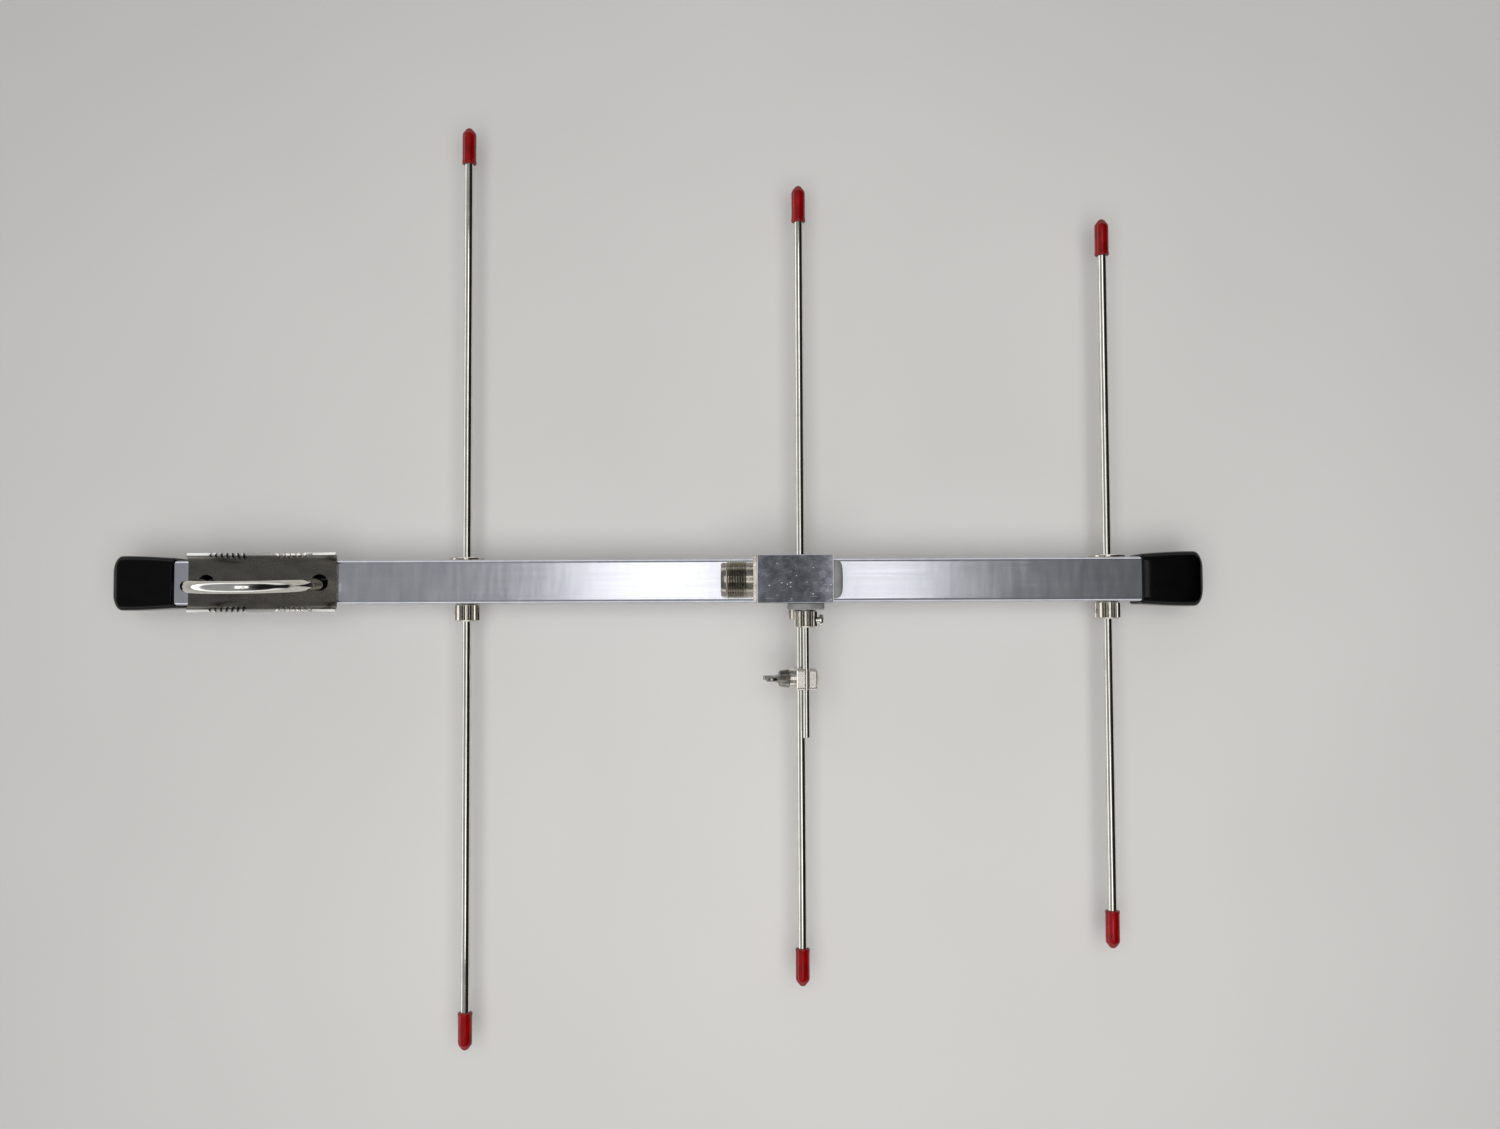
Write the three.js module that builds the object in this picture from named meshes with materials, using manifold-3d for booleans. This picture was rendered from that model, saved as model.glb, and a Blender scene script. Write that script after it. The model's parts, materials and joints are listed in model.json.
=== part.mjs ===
// Three-element UHF yagi antenna with a gamma match and a U-bolt mast clamp.
//
// Millimetres, +Z up. X runs along the boom from the reflector to the director, Y runs along
// the elements, and Z points from the boom to the mast. The origin is the middle of the seat
// that the mast saddle offers to the mast.

import * as THREE from 'three';
import { mergeVertices } from 'three/addons/utils/BufferGeometryUtils.js';
import Module from 'manifold-3d';

const wasm = await Module();
wasm.setup();

// ---------------------------------------------------------------- driving dimensions

// Clear space between a piece and the hole that it passes through.
const GAP = 0.3;

const BOOM = { size: 19, wall: 1.5, corner: 2, rear: -62.6, front: 397.8 };
const SADDLE = {
  length: 63, flatHalf: 7.4, sheet: 1.5, bend: 4.9, sweep: 55 * Math.PI / 180,
  valleyHalf: 5.5, valleyHeight: 1.1, rampEnd: 22, rampHeight: 2, teeth: 7, toothDepth: 0.75,
  holeRadius: 3.5,
};
const BOOM_Z = -SADDLE.sheet - BOOM.size / 2;
const BOOM_BACK = BOOM_Z - BOOM.size / 2;

// A dipped cap is thinner at its rim than near its dome.
const CAP = { length: 27, grip: 24.5, rim: 21.6, girth: 23.4, corner: 3.6, dome: 5, endSize: 11 };

const ROD_RADIUS = 2;
const ELEMENTS = [
  { name: 'reflector', x: 84.6, length: 399 },
  { name: 'driven', x: 228.8, length: 346 },
  { name: 'director', x: 361.3, length: 315 },
];
const TIP = { length: 16, radius: 3, floor: 13.3, nose: 2.6, apexRadius: 0.75 };

const BUSH = { flangeRadius: 7.6, flange: 1.1, crown: 0.4, barrelRadius: 3.5, below: 2 };
const COLLAR = { radius: 5.3, height: 7.4, chamfer: 0.4 };
const GRUB = { radius: 1.5, length: 2.6, socket: 0.8 };

// With no mast under it, the U-bolt leans in its oversize holes, about the middle of the boom.
const U_BOLT = {
  wire: 2.5, halfSpan: 24.1, arcZ: 13.1, legEnd: -30, legHole: 3.5, lean: 3.6 * Math.PI / 180,
};
const LEG_WASHER = { radius: 5, thickness: 1 };
const LEG_SPRING = { radius: 4.5, thickness: 1.3, split: 0.7 };
const LEG_NUT = { acrossFlats: 8, thickness: 4 };

const BOX = { rear: 210, front: 241.4, size: 20, wall: 1.5, edge: 0.4 };
const BOX_Z = -SADDLE.sheet + BOX.size / 2;
const BOX_SCREW = { inset: 8, radius: 1.4, head: 2.75, headHeight: 1.7, end: -6.5 };
const PLUG = { skirt: 4.8, size: 15.8, bulge: 4.2 };

const JACK = {
  flange: 1.6, spigot: 1.4, neckRadius: 7.25, neck: 2.8, threadRadius: 7.94, thread: 8.4,
  leadRadius: 7.1, lead: 2.2, mouthRadius: 4.1, mouthDepth: 8.5, throatRadius: 3.6,
};
const CONTACT = { radius: 1.5, bore: 0.85, recess: 1.4, tail: 4 };
const LINK = { radius: 0.5, lugInner: 1.8, lugOuter: 3.4, lug: 0.8 };

const GAMMA = { radius: 1.5, x: 230.3, top: -4.2, end: -65.9 };
const GAMMA_BUSH = { radius: 7.75, flange: 2.6, barrelRadius: 4, inside: 1.2 };
const COUPLER = { radius: 4.65, height: 7.1, screwDrop: 4.2 };
const COUPLER_SCREW = { radius: 1.5, standOff: 0.9, head: 2.5, headHeight: 1.9, slot: 0.6 };

const CLAMP = { y: -41.6, height: 8.7, halfLength: 13.25, gap: 0.9, thickness: 3.4, corner: 1.2 };
const CLAMP_SCREW = { radius: 2, head: 3.8, headHeight: 2.2, end: -12.4 };
const CLAMP_WASHER = { radius: 3.5, thickness: 0.8 };
const CLAMP_SPRING = { radius: 3.6, thickness: 1, split: 0.6 };
const WING_NUT = { base: 3.9, top: 3.4, hub: 4.4, span: 19, height: 10.5, thickness: 2 };

const SIDES = 16;
const ALONG_X = new THREE.Vector3(1, 0, 0);
const ALONG_Y = new THREE.Vector3(0, 1, 0);
const ALONG_Z = new THREE.Vector3(0, 0, 1);

// ---------------------------------------------------------------- finishes

function finish(color, roughness, metalness) {
  return new THREE.MeshStandardMaterial({ color, roughness, metalness });
}

const MILL_ALUMINIUM = finish(0xb9bac0, 0.34, 1);
const BOX_ALUMINIUM = finish(0x7d7f88, 0.38, 1);
const PLATED_STEEL = finish(0x8b8880, 0.4, 1);
const BRIGHT_STEEL = finish(0xd2d0c8, 0.16, 1);
const NICKEL = finish(0xbdb4a2, 0.26, 1);
const BRASS = finish(0xc9a560, 0.32, 1);
const BLACK_VINYL = finish(0x050505, 0.22, 0);
const RED_VINYL = finish(0xa50d12, 0.34, 0);
const GREY_PLASTIC = finish(0x8f908e, 0.5, 0);
const PTFE = finish(0xe9e8e2, 0.45, 0);

// ---------------------------------------------------------------- shape helpers

// A welded, closed mesh as a solid that can be joined and cut.
function toSolid(geometry) {
  const bare = geometry.clone();
  bare.deleteAttribute('normal');
  bare.deleteAttribute('uv');
  const welded = mergeVertices(bare, 1e-4);
  const corners = welded.index.array;
  const kept = [];
  for (let i = 0; i < corners.length; i += 3) {
    const [a, b, c] = [corners[i], corners[i + 1], corners[i + 2]];
    if (a !== b && b !== c && c !== a) kept.push(a, b, c);
  }
  const vertProperties = new Float32Array(welded.attributes.position.array);
  const triVerts = new Uint32Array(kept);
  return new wasm.Manifold(new wasm.Mesh({ numProp: 3, vertProperties, triVerts }));
}

function toGeometry(solid) {
  const mesh = solid.getMesh();
  const geometry = new THREE.BufferGeometry();
  geometry.setAttribute('position', new THREE.BufferAttribute(mesh.vertProperties, 3));
  geometry.setIndex(new THREE.BufferAttribute(mesh.triVerts, 1));
  geometry.computeVertexNormals();
  return geometry;
}

function join(...pieces) {
  return toGeometry(pieces.map(toSolid).reduce((whole, piece) => whole.add(piece)));
}

function cut(body, ...tools) {
  return toGeometry(tools.map(toSolid).reduce((rest, tool) => rest.subtract(tool), toSolid(body)));
}

// Stands a shape that was made about +Y along another direction, with its foot at a point.
function stand(geometry, direction, x, y, z) {
  const turn = new THREE.Quaternion().setFromUnitVectors(ALONG_Y, direction);
  return geometry.applyQuaternion(turn).translate(x, y, z);
}

// A round bar between two points.
function bar(radius, from, to, sides = SIDES) {
  const start = new THREE.Vector3(...from);
  const span = new THREE.Vector3(...to).sub(start);
  const geometry = new THREE.CylinderGeometry(radius, radius, span.length(), sides);
  geometry.translate(0, span.length() / 2, 0);
  return stand(geometry, span.normalize(), ...from);
}

// A turned piece: its profile is a list of [radius, distance along the axis].
function turned(profile, direction, at, sides = SIDES) {
  const points = profile.map(([radius, along]) => new THREE.Vector2(radius, along));
  return stand(new THREE.LatheGeometry(points, sides), direction, ...at);
}

// A turned ring, whose profile closes on itself.
function ring(inner, outer, from, to, direction, at, sides = SIDES) {
  const profile = [[inner, from], [outer, from], [outer, to], [inner, to], [inner, from]];
  return turned(profile, direction, at, sides);
}

// Extrusions of a flat outline: along X with the outline in Y and Z, and along Y with the
// outline in X and Z.
function extrudeX(shape, from, to, curveSegments = 3) {
  const options = { depth: to - from, bevelEnabled: false, curveSegments };
  const turn = new THREE.Matrix4().makeBasis(ALONG_Y, ALONG_Z, ALONG_X);
  return new THREE.ExtrudeGeometry(shape, options).applyMatrix4(turn).translate(from, 0, 0);
}

function extrudeY(shape, from, to, curveSegments = 3) {
  const options = { depth: to - from, bevelEnabled: false, curveSegments };
  const turn = new THREE.Matrix4().makeBasis(ALONG_X, ALONG_Z, ALONG_Y.clone().negate());
  return new THREE.ExtrudeGeometry(shape, options).applyMatrix4(turn).translate(0, to, 0);
}

// A rectangle with round corners about a centre, as an outline for an extrusion.
function roundedRectangle(width, height, corner, x = 0, y = 0, Outline = THREE.Shape) {
  const outline = new Outline();
  const [w, h] = [width / 2 - corner, height / 2 - corner];
  const centres = [[w, -h], [w, h], [-w, h], [-w, -h]];
  centres.forEach(([cx, cy], i) => {
    const start = (i - 1) * Math.PI / 2;
    outline.absarc(x + cx, y + cy, corner, start, start + Math.PI / 2, false);
  });
  outline.closePath();
  return outline;
}

// A closed skin over a row of rings, each a list of points that runs round +X.
function skin(rings) {
  const count = rings[0].length;
  const points = rings.flat();
  const faces = [];
  for (let r = 0; r < rings.length - 1; r++) {
    for (let i = 0; i < count; i++) {
      const [a, b] = [r * count + i, r * count + (i + 1) % count];
      faces.push(a, b, b + count, a, b + count, a + count);
    }
  }
  const first = points.length;
  const last = first + 1;
  for (const loop of [rings[0], rings.at(-1)]) {
    points.push(loop.reduce((sum, p) => sum.add(p), new THREE.Vector3()).divideScalar(count));
  }
  for (let i = 0; i < count; i++) {
    const next = (i + 1) % count;
    const end = (rings.length - 1) * count;
    faces.push(first, next, i, last, end + i, end + next);
  }
  const geometry = new THREE.BufferGeometry().setFromPoints(points);
  geometry.setIndex(faces);
  geometry.computeVertexNormals();
  return geometry;
}

// One square ring with round corners for a skin, across X.
function squareRing(x, size, corner) {
  const points = roundedRectangle(size, size, corner).getPoints(2);
  const closing = points.at(-1).distanceTo(points[0]) < 1e-6 ? points.slice(0, -1) : points;
  const open = closing.filter((p, i) => i === 0 || p.distanceTo(closing[i - 1]) > 1e-6);
  return open.map((p) => new THREE.Vector3(x, p.x, p.y));
}

const antenna = new THREE.Group();

function add(name, geometry, material, parent = antenna) {
  const mesh = new THREE.Mesh(geometry, material);
  mesh.name = name;
  parent.add(mesh);
  return mesh;
}

// ---------------------------------------------------------------- boom and its caps

// The square tube, with holes for the elements, the U-bolt legs and the feed box screws.
function boomTube() {
  const section = roundedRectangle(BOOM.size, BOOM.size, BOOM.corner, 0, BOOM_Z);
  const inner = BOOM.size - 2 * BOOM.wall;
  const hollow = roundedRectangle(inner, inner, BOOM.corner - BOOM.wall, 0, BOOM_Z, THREE.Path);
  section.holes.push(hollow);
  const tube = extrudeX(section, BOOM.rear, BOOM.front);
  const reach = BOOM.size / 2 + 1;
  const bushHoles = ELEMENTS.map(({ x }) =>
    bar(BUSH.barrelRadius + GAP, [x, -reach, BOOM_Z], [x, reach, BOOM_Z]));
  const legHoles = [-1, 1].map((side) => {
    const x = side * U_BOLT.halfSpan;
    return bar(U_BOLT.legHole, [x, 0, BOOM_Z - reach], [x, 0, BOOM_Z + reach]);
  });
  const screwHoles = boxScrewPlaces().map((x) =>
    bar(BOX_SCREW.radius + GAP, [x, 0, BOOM_Z], [x, 0, BOOM_Z + reach], 16));
  return cut(tube, ...bushHoles, ...legHoles, ...screwHoles);
}

// A dipped vinyl cap: a square cup that widens towards its domed end.
function boomCap() {
  const { length, grip, rim, girth, corner, dome, endSize } = CAP;
  const bore = BOOM.size + 0.2;
  const lip = 0.4;
  const rings = [
    squareRing(grip, bore, BOOM.corner),
    squareRing(lip, bore, BOOM.corner),
    squareRing(0, bore + lip, BOOM.corner),
    squareRing(0, rim - lip, corner),
    squareRing(lip, rim, corner),
  ];
  const steps = 6;
  for (let i = 0; i <= steps; i++) {
    const angle = (i / steps) * Math.PI / 2;
    const size = girth - (girth - endSize) * (1 - Math.cos(angle));
    const x = length - dome * (1 - Math.sin(angle));
    rings.push(squareRing(x, size, corner + i * 0.25));
  }
  return skin(rings);
}

function addBoom() {
  add('boom_tube', boomTube(), MILL_ALUMINIUM);
  const front = add('boom_cap_front', boomCap(), BLACK_VINYL);
  front.position.set(BOOM.front - CAP.grip + GAP, 0, BOOM_Z);
  const rear = add('boom_cap_rear', boomCap(), BLACK_VINYL);
  rear.rotation.z = Math.PI;
  rear.position.set(BOOM.rear + CAP.grip - GAP, 0, BOOM_Z);
}

// ---------------------------------------------------------------- mast saddle and U-bolt

// The edge of a flange along X: toothed ramps that fall from each side to a smooth valley.
function flangeEdge() {
  const { valleyHalf, valleyHeight, rampEnd, rampHeight, teeth, toothDepth, bend } = SADDLE;
  const outline = new THREE.Shape();
  const pitch = (rampEnd - valleyHalf) / teeth;
  const drop = (rampHeight - valleyHeight) / teeth;
  outline.moveTo(-rampEnd, bend);
  for (let i = 0; i < teeth; i++) {
    const [x, z] = [-rampEnd + i * pitch, rampHeight - i * drop];
    outline.lineTo(x, z);
    outline.lineTo(x + pitch * 0.3, z - toothDepth);
  }
  outline.lineTo(-valleyHalf, valleyHeight);
  outline.lineTo(valleyHalf, valleyHeight);
  for (let i = teeth - 1; i >= 0; i--) {
    const [x, z] = [rampEnd - i * pitch, rampHeight - i * drop];
    outline.lineTo(x - pitch * 0.3, z - toothDepth);
    outline.lineTo(x, z);
  }
  outline.lineTo(rampEnd, bend);
  outline.closePath();
  return outline;
}

// The pressed steel channel that the mast lies across, with teeth along both flanges.
function mastSaddle() {
  const { flatHalf, sheet, bend, sweep } = SADDLE;
  const down = -Math.PI / 2;
  const section = new THREE.Shape();
  section.absarc(flatHalf, bend, bend, down + sweep, down, true);
  section.absarc(-flatHalf, bend, bend, down, down - sweep, true);
  section.absarc(-flatHalf, bend, bend + sheet, down - sweep, down, false);
  section.absarc(flatHalf, bend, bend + sheet, down, down + sweep, false);
  section.closePath();
  const channel = extrudeX(section, -SADDLE.length / 2, SADDLE.length / 2, 4);
  const reach = flatHalf + bend + sheet;
  const notch = extrudeY(flangeEdge(), -reach, reach);
  const holes = [-1, 1].map((side) => {
    const x = side * U_BOLT.halfSpan;
    const bore = SADDLE.holeRadius;
    const edge = [[0, -sheet - 1], [bore, -sheet - 1], [bore, -0.5], [bore + 0.6, 0.1], [0, 0.1]];
    return turned(edge, ALONG_Z, [x, 0, 0]);
  });
  return cut(channel, notch, ...holes);
}

// Two legs and a half-circle of round wire.
function uBolt() {
  const { wire, halfSpan, arcZ, legEnd } = U_BOLT;
  const steps = 20;
  const arc = Array.from({ length: steps + 1 }, (_, i) => {
    const angle = Math.PI * (1 - i / steps);
    return new THREE.Vector3(halfSpan * Math.cos(angle), 0, arcZ + halfSpan * Math.sin(angle));
  });
  const [rear, front] = [-1, 1].map((side) => new THREE.Vector3(side * halfSpan, 0, legEnd));
  return wireAlong([rear, ...arc, front], wire, 14);
}

// Round wire through a row of points in the XZ plane, mitred where its stretches meet.
function wireAlong(points, radius, sides) {
  const headings = points.slice(1).map((point, i) => point.clone().sub(points[i]).normalize());
  const rings = points.map((point, i) => {
    const back = headings[Math.max(i - 1, 0)];
    const ahead = headings[Math.min(i, headings.length - 1)];
    const heading = back.clone().add(ahead).normalize();
    const mitre = 1 / heading.dot(ahead);
    const across = new THREE.Vector3().crossVectors(ALONG_Y, heading);
    return Array.from({ length: sides }, (_, k) => {
      const angle = (k / sides) * Math.PI * 2;
      return point.clone()
        .addScaledVector(across, radius * mitre * Math.cos(angle))
        .addScaledVector(ALONG_Y, radius * Math.sin(angle));
    });
  });
  return skin(rings);
}

function hexNut(acrossFlats, thickness, bore) {
  const hexagon = new THREE.CylinderGeometry(
    acrossFlats / Math.sqrt(3), acrossFlats / Math.sqrt(3), thickness, 6);
  const round = acrossFlats / Math.sqrt(3) - 0.1;
  const trim = new THREE.CylinderGeometry(round, round, thickness * 3, 36);
  const corners = cut(new THREE.CylinderGeometry(round * 2, round * 2, thickness * 2, 12), trim);
  const hole = new THREE.CylinderGeometry(bore, bore, thickness * 3, SIDES);
  return cut(hexagon, corners, hole);
}

// A coil washer: a ring with one slanting split.
function springWasher(inner, outer, thickness, split) {
  const whole = ring(inner, outer, 0, thickness, ALONG_Y, [0, 0, 0]);
  const slot = new THREE.BoxGeometry(outer * 1.5, thickness * 4, split);
  slot.rotateX(0.5).translate(outer, thickness / 2, 0);
  return cut(whole, slot);
}

// The washers lie flat on the boom, where the leaning legs leave it. The nuts lean with the legs.
function addMastClamp() {
  add('mast_saddle', mastSaddle(), PLATED_STEEL);
  const leaning = new THREE.Group();
  leaning.position.z = BOOM_Z;
  leaning.rotation.x = U_BOLT.lean;
  antenna.add(leaning);
  add('u_bolt', uBolt().translate(0, 0, -BOOM_Z), BRIGHT_STEEL, leaning);
  const slant = Math.tan(U_BOLT.lean);
  const bore = U_BOLT.wire + GAP;
  const slantBore = bore + LEG_SPRING.thickness * slant;
  for (const [end, side] of [['rear', -1], ['front', 1]]) {
    const x = side * U_BOLT.halfSpan;
    const washerZ = BOOM_BACK - LEG_WASHER.thickness;
    const washer = ring(
      slantBore, LEG_WASHER.radius, 0, LEG_WASHER.thickness, ALONG_Z,
      [x, (BOOM_Z - washerZ) * slant, washerZ]);
    add(`u_bolt_washer_${end}`, washer, BRIGHT_STEEL);
    const springZ = washerZ - LEG_SPRING.thickness;
    const spring = springWasher(
      slantBore, LEG_SPRING.radius, LEG_SPRING.thickness, LEG_SPRING.split);
    stand(spring, ALONG_Z, x, (BOOM_Z - springZ) * slant, springZ);
    add(`u_bolt_spring_washer_${end}`, spring, BRIGHT_STEEL);
    const nut = hexNut(LEG_NUT.acrossFlats, LEG_NUT.thickness, bore);
    const tilt = LEG_NUT.acrossFlats / Math.sqrt(3) * slant;
    const nutZ = springZ - BOOM_Z - tilt - GAP - LEG_NUT.thickness / 2;
    add(`u_bolt_nut_${end}`, stand(nut, ALONG_Z, x, 0, nutZ), BRIGHT_STEEL, leaning);
  }
}

// ---------------------------------------------------------------- elements

// A dipped vinyl tip: a cup with a pointed nose, made up from its open end.
function rodTip() {
  const { length, radius, floor, nose, apexRadius } = TIP;
  const bore = ROD_RADIUS + GAP;
  return new THREE.LatheGeometry([
    [0, floor], [bore, floor], [bore, 0], [radius, 0], [radius + 0.15, 0.3], [radius, 1.4],
    [radius, length - nose], [radius - 0.35, length - nose + 0.45], [apexRadius, length - 0.3],
    [0, length],
  ].map(([r, along]) => new THREE.Vector2(r, along)), 14);
}

// The flanged bush that runs through the boom from its upper side.
function elementBush() {
  const bore = ROD_RADIUS + GAP;
  const { flangeRadius, flange, crown, barrelRadius } = BUSH;
  const top = BOOM.size / 2;
  const bottom = -BOOM.size / 2 - BUSH.below;
  return turned([
    [bore, bottom], [barrelRadius, bottom], [barrelRadius, top], [flangeRadius, top],
    [flangeRadius, top + flange * 0.7], [flangeRadius - 0.5, top + flange],
    [barrelRadius, top + flange + crown], [bore, top + flange + crown], [bore, bottom],
  ], ALONG_Y, [0, 0, 0], 20);
}

// The round collar that screws onto the bush below the boom and locks the rod.
function elementCollar() {
  const { radius, height, chamfer } = COLLAR;
  const bore = ROD_RADIUS + GAP;
  const counterbore = BUSH.barrelRadius + GAP;
  const seat = height - BUSH.below - GAP;
  const body = turned([
    [bore, 0], [radius - chamfer, 0], [radius, chamfer], [radius, height - chamfer],
    [radius - chamfer, height], [counterbore, height], [counterbore, seat], [bore, seat],
    [bore, 0],
  ], ALONG_Y, [0, 0, 0], 20);
  const tap = bar(GRUB.radius + GAP, [-radius - 1, height / 2, 0], [0, height / 2, 0], 16);
  return cut(body, tap);
}

// A headless screw with a six-sided socket, pointing along +X.
function grubScrew() {
  const { radius, length, socket } = GRUB;
  const body = turned([
    [0, 0], [radius - 0.3, 0], [radius, 0.3], [radius, length - 0.6], [radius - 0.5, length],
    [0, length],
  ], ALONG_X, [0, 0, 0], 16);
  return cut(body, bar(socket, [-1, 0, 0], [1.3, 0, 0], 6));
}

function addElement({ name, x, length }) {
  const site = new THREE.Group();
  site.position.set(x, 0, BOOM_Z);
  antenna.add(site);
  const rodEnd = length / 2 - TIP.length + TIP.floor - GAP;
  add(`${name}_rod`, bar(ROD_RADIUS, [0, -rodEnd, 0], [0, rodEnd, 0]), BRIGHT_STEEL, site);
  const upper = add(`${name}_tip_upper`, rodTip(), RED_VINYL, site);
  upper.position.y = length / 2 - TIP.length;
  const lower = add(`${name}_tip_lower`, rodTip(), RED_VINYL, site);
  lower.rotation.x = Math.PI;
  lower.position.y = -length / 2 + TIP.length;
  add(`${name}_bush`, elementBush(), NICKEL, site);
  const foot = -BOOM.size / 2 - COLLAR.height;
  add(`${name}_collar`, elementCollar(), NICKEL, site).position.y = foot;
  const grub = add(`${name}_grub_screw`, grubScrew(), PLATED_STEEL, site);
  grub.position.set(-COLLAR.radius + 0.1, foot + COLLAR.height / 2, 0);
}

// ---------------------------------------------------------------- feed box and coax jack

function boxScrewPlaces() {
  return [BOX.rear + BOX_SCREW.inset, BOX.front - BOX_SCREW.inset];
}

// A short length of square tube, drilled for the gamma bush and for two screws.
function feedBox() {
  const section = roundedRectangle(BOX.size, BOX.size, BOX.edge, 0, BOX_Z);
  const inner = BOX.size - 2 * BOX.wall;
  section.holes.push(roundedRectangle(inner, inner, 0.2, 0, BOX_Z, THREE.Path));
  const tube = extrudeX(section, BOX.rear, BOX.front, 1);
  const reach = BOX.size / 2 + 1;
  const gammaHole = bar(
    GAMMA_BUSH.barrelRadius + GAP, [GAMMA.x, -reach, BOX_Z], [GAMMA.x, 0, BOX_Z]);
  const screwHoles = boxScrewPlaces().map((x) =>
    bar(BOX_SCREW.radius + GAP, [x, 0, BOX_Z - reach], [x, 0, BOX_Z], 16));
  return cut(tube, gammaHole, ...screwHoles);
}

// The self-tapping screws that hold the box to the boom, with a cross recess in each head.
function boxScrew(x) {
  const { radius, head, headHeight, end } = BOX_SCREW;
  const seat = BOX_Z - BOX.size / 2 + BOX.wall;
  const body = turned([
    [0, end], [radius, end + 1.2], [radius, seat], [head, seat], [head, seat + headHeight * 0.5],
    [head * 0.7, seat + headHeight * 0.9], [0, seat + headHeight],
  ], ALONG_Z, [x, 0, 0], 20);
  const arms = [[2.6, 0.7], [0.7, 2.6]].map(([w, h]) =>
    new THREE.BoxGeometry(w, h, 1.8).translate(x, 0, seat + headHeight));
  return cut(body, ...arms);
}

// The end plug: a square skirt inside the box and a domed face outside it.
function boxPlug() {
  const inside = BOX.size - 2 * BOX.wall - 2 * GAP;
  const rings = [
    squareRing(-PLUG.skirt, inside - 1, 0.5),
    squareRing(-PLUG.skirt + 1, inside, 0.5),
    squareRing(0, inside, 0.5),
    squareRing(0.01, PLUG.size, 1),
    squareRing(PLUG.bulge * 0.35, PLUG.size, 1.2),
  ];
  const steps = 5;
  for (let i = 1; i <= steps; i++) {
    const angle = (i / steps) * Math.PI / 2;
    const size = PLUG.size - 9 * (1 - Math.cos(angle));
    rings.push(squareRing(PLUG.bulge * (0.35 + 0.65 * Math.sin(angle)), size, 1.2 + i * 0.3));
  }
  return skin(rings);
}

// The coaxial jack: a square flange on the box and a round barrel that points along -X.
function jackBody() {
  const { flange, spigot, neck, thread, lead } = JACK;
  const barrel = neck + thread + lead;
  const shell = turned([
    [0, -spigot], [JACK.neckRadius, -spigot], [JACK.neckRadius, flange + neck],
    [JACK.threadRadius - 0.5, flange + neck], [JACK.threadRadius, flange + neck + 0.5],
    [JACK.threadRadius, flange + neck + thread - 0.6],
    [JACK.leadRadius, flange + neck + thread], [JACK.leadRadius, flange + barrel - 0.5],
    [JACK.leadRadius - 0.5, flange + barrel], [0, flange + barrel],
  ], ALONG_X.clone().negate(), [BOX.rear, 0, BOX_Z], 32);
  const square = roundedRectangle(BOX.size, BOX.size, BOX.edge, 0, BOX_Z);
  const plate = extrudeX(square, BOX.rear - flange, BOX.rear, 1);
  const mouth = BOX.rear - flange - barrel;
  const floor = mouth + JACK.mouthDepth;
  return cut(
    join(shell, plate),
    bar(JACK.mouthRadius, [mouth - 1, 0, BOX_Z], [floor, 0, BOX_Z], 24),
    bar(JACK.throatRadius, [mouth, 0, BOX_Z], [BOX.rear + spigot + 1, 0, BOX_Z], 24),
  );
}

function jackMouth() {
  return BOX.rear - JACK.flange - JACK.neck - JACK.thread - JACK.lead;
}

function addJack() {
  add('coax_jack_body', jackBody(), NICKEL);
  const floor = jackMouth() + JACK.mouthDepth;
  const outer = JACK.throatRadius - GAP;
  const insulator = ring(
    CONTACT.radius + GAP, outer, floor, BOX.rear + JACK.spigot, ALONG_X, [0, 0, BOX_Z]);
  add('jack_insulator', insulator, PTFE);
  const tip = jackMouth() + CONTACT.recess;
  const tail = BOX.rear + CONTACT.tail;
  const pin = turned([
    [0, tip + 4], [CONTACT.bore, tip + 4], [CONTACT.bore, tip], [CONTACT.radius - 0.3, tip],
    [CONTACT.radius, tip + 0.4], [CONTACT.radius, tail], [CONTACT.bore, tail],
    [CONTACT.bore, tail - 2.4], [0, tail - 2.4],
  ], ALONG_X, [0, 0, BOX_Z], 20);
  add('jack_contact', pin, BRASS);
}

// The wire inside the box, from the jack's contact to a lug round the gamma rod.
function feedLink() {
  const start = BOX.rear + CONTACT.tail - 1.8;
  const bend = GAMMA.x - LINK.lugOuter - 3.4;
  const lugY = -BOX.size / 2 + BOX.wall + GAMMA_BUSH.inside + 0.6 + LINK.lug;
  const route = [
    [start, 0], [bend - 1.6, 0], [bend - 0.5, -0.4], [bend, -1.5],
    [bend + 0.3, lugY + 0.4], [bend + 1.2, lugY - LINK.lug / 2],
    [GAMMA.x - LINK.lugOuter + 0.5, lugY - LINK.lug / 2],
  ].map(([x, y]) => new THREE.Vector3(x, y, BOX_Z));
  const curve = new THREE.CatmullRomCurve3(route, false, 'centripetal');
  const section = new THREE.Shape().absarc(0, 0, LINK.radius, 0, Math.PI * 2, false);
  const options = { steps: 14, bevelEnabled: false, curveSegments: 4, extrudePath: curve };
  const wire = new THREE.ExtrudeGeometry(section, options);
  const lug = ring(
    LINK.lugInner, LINK.lugOuter, lugY - LINK.lug, lugY, ALONG_Y, [GAMMA.x, 0, BOX_Z]);
  return join(wire, lug);
}

function addFeedBox() {
  add('feed_box', feedBox(), BOX_ALUMINIUM);
  add('feed_box_plug', boxPlug(), GREY_PLASTIC).position.set(BOX.front, 0, BOX_Z);
  boxScrewPlaces().forEach((x, i) => {
    add(`feed_box_screw_${i === 0 ? 'rear' : 'front'}`, boxScrew(x), PLATED_STEEL);
  });
  add('feed_link', feedLink(), BRASS);
}

// ---------------------------------------------------------------- gamma match

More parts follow.
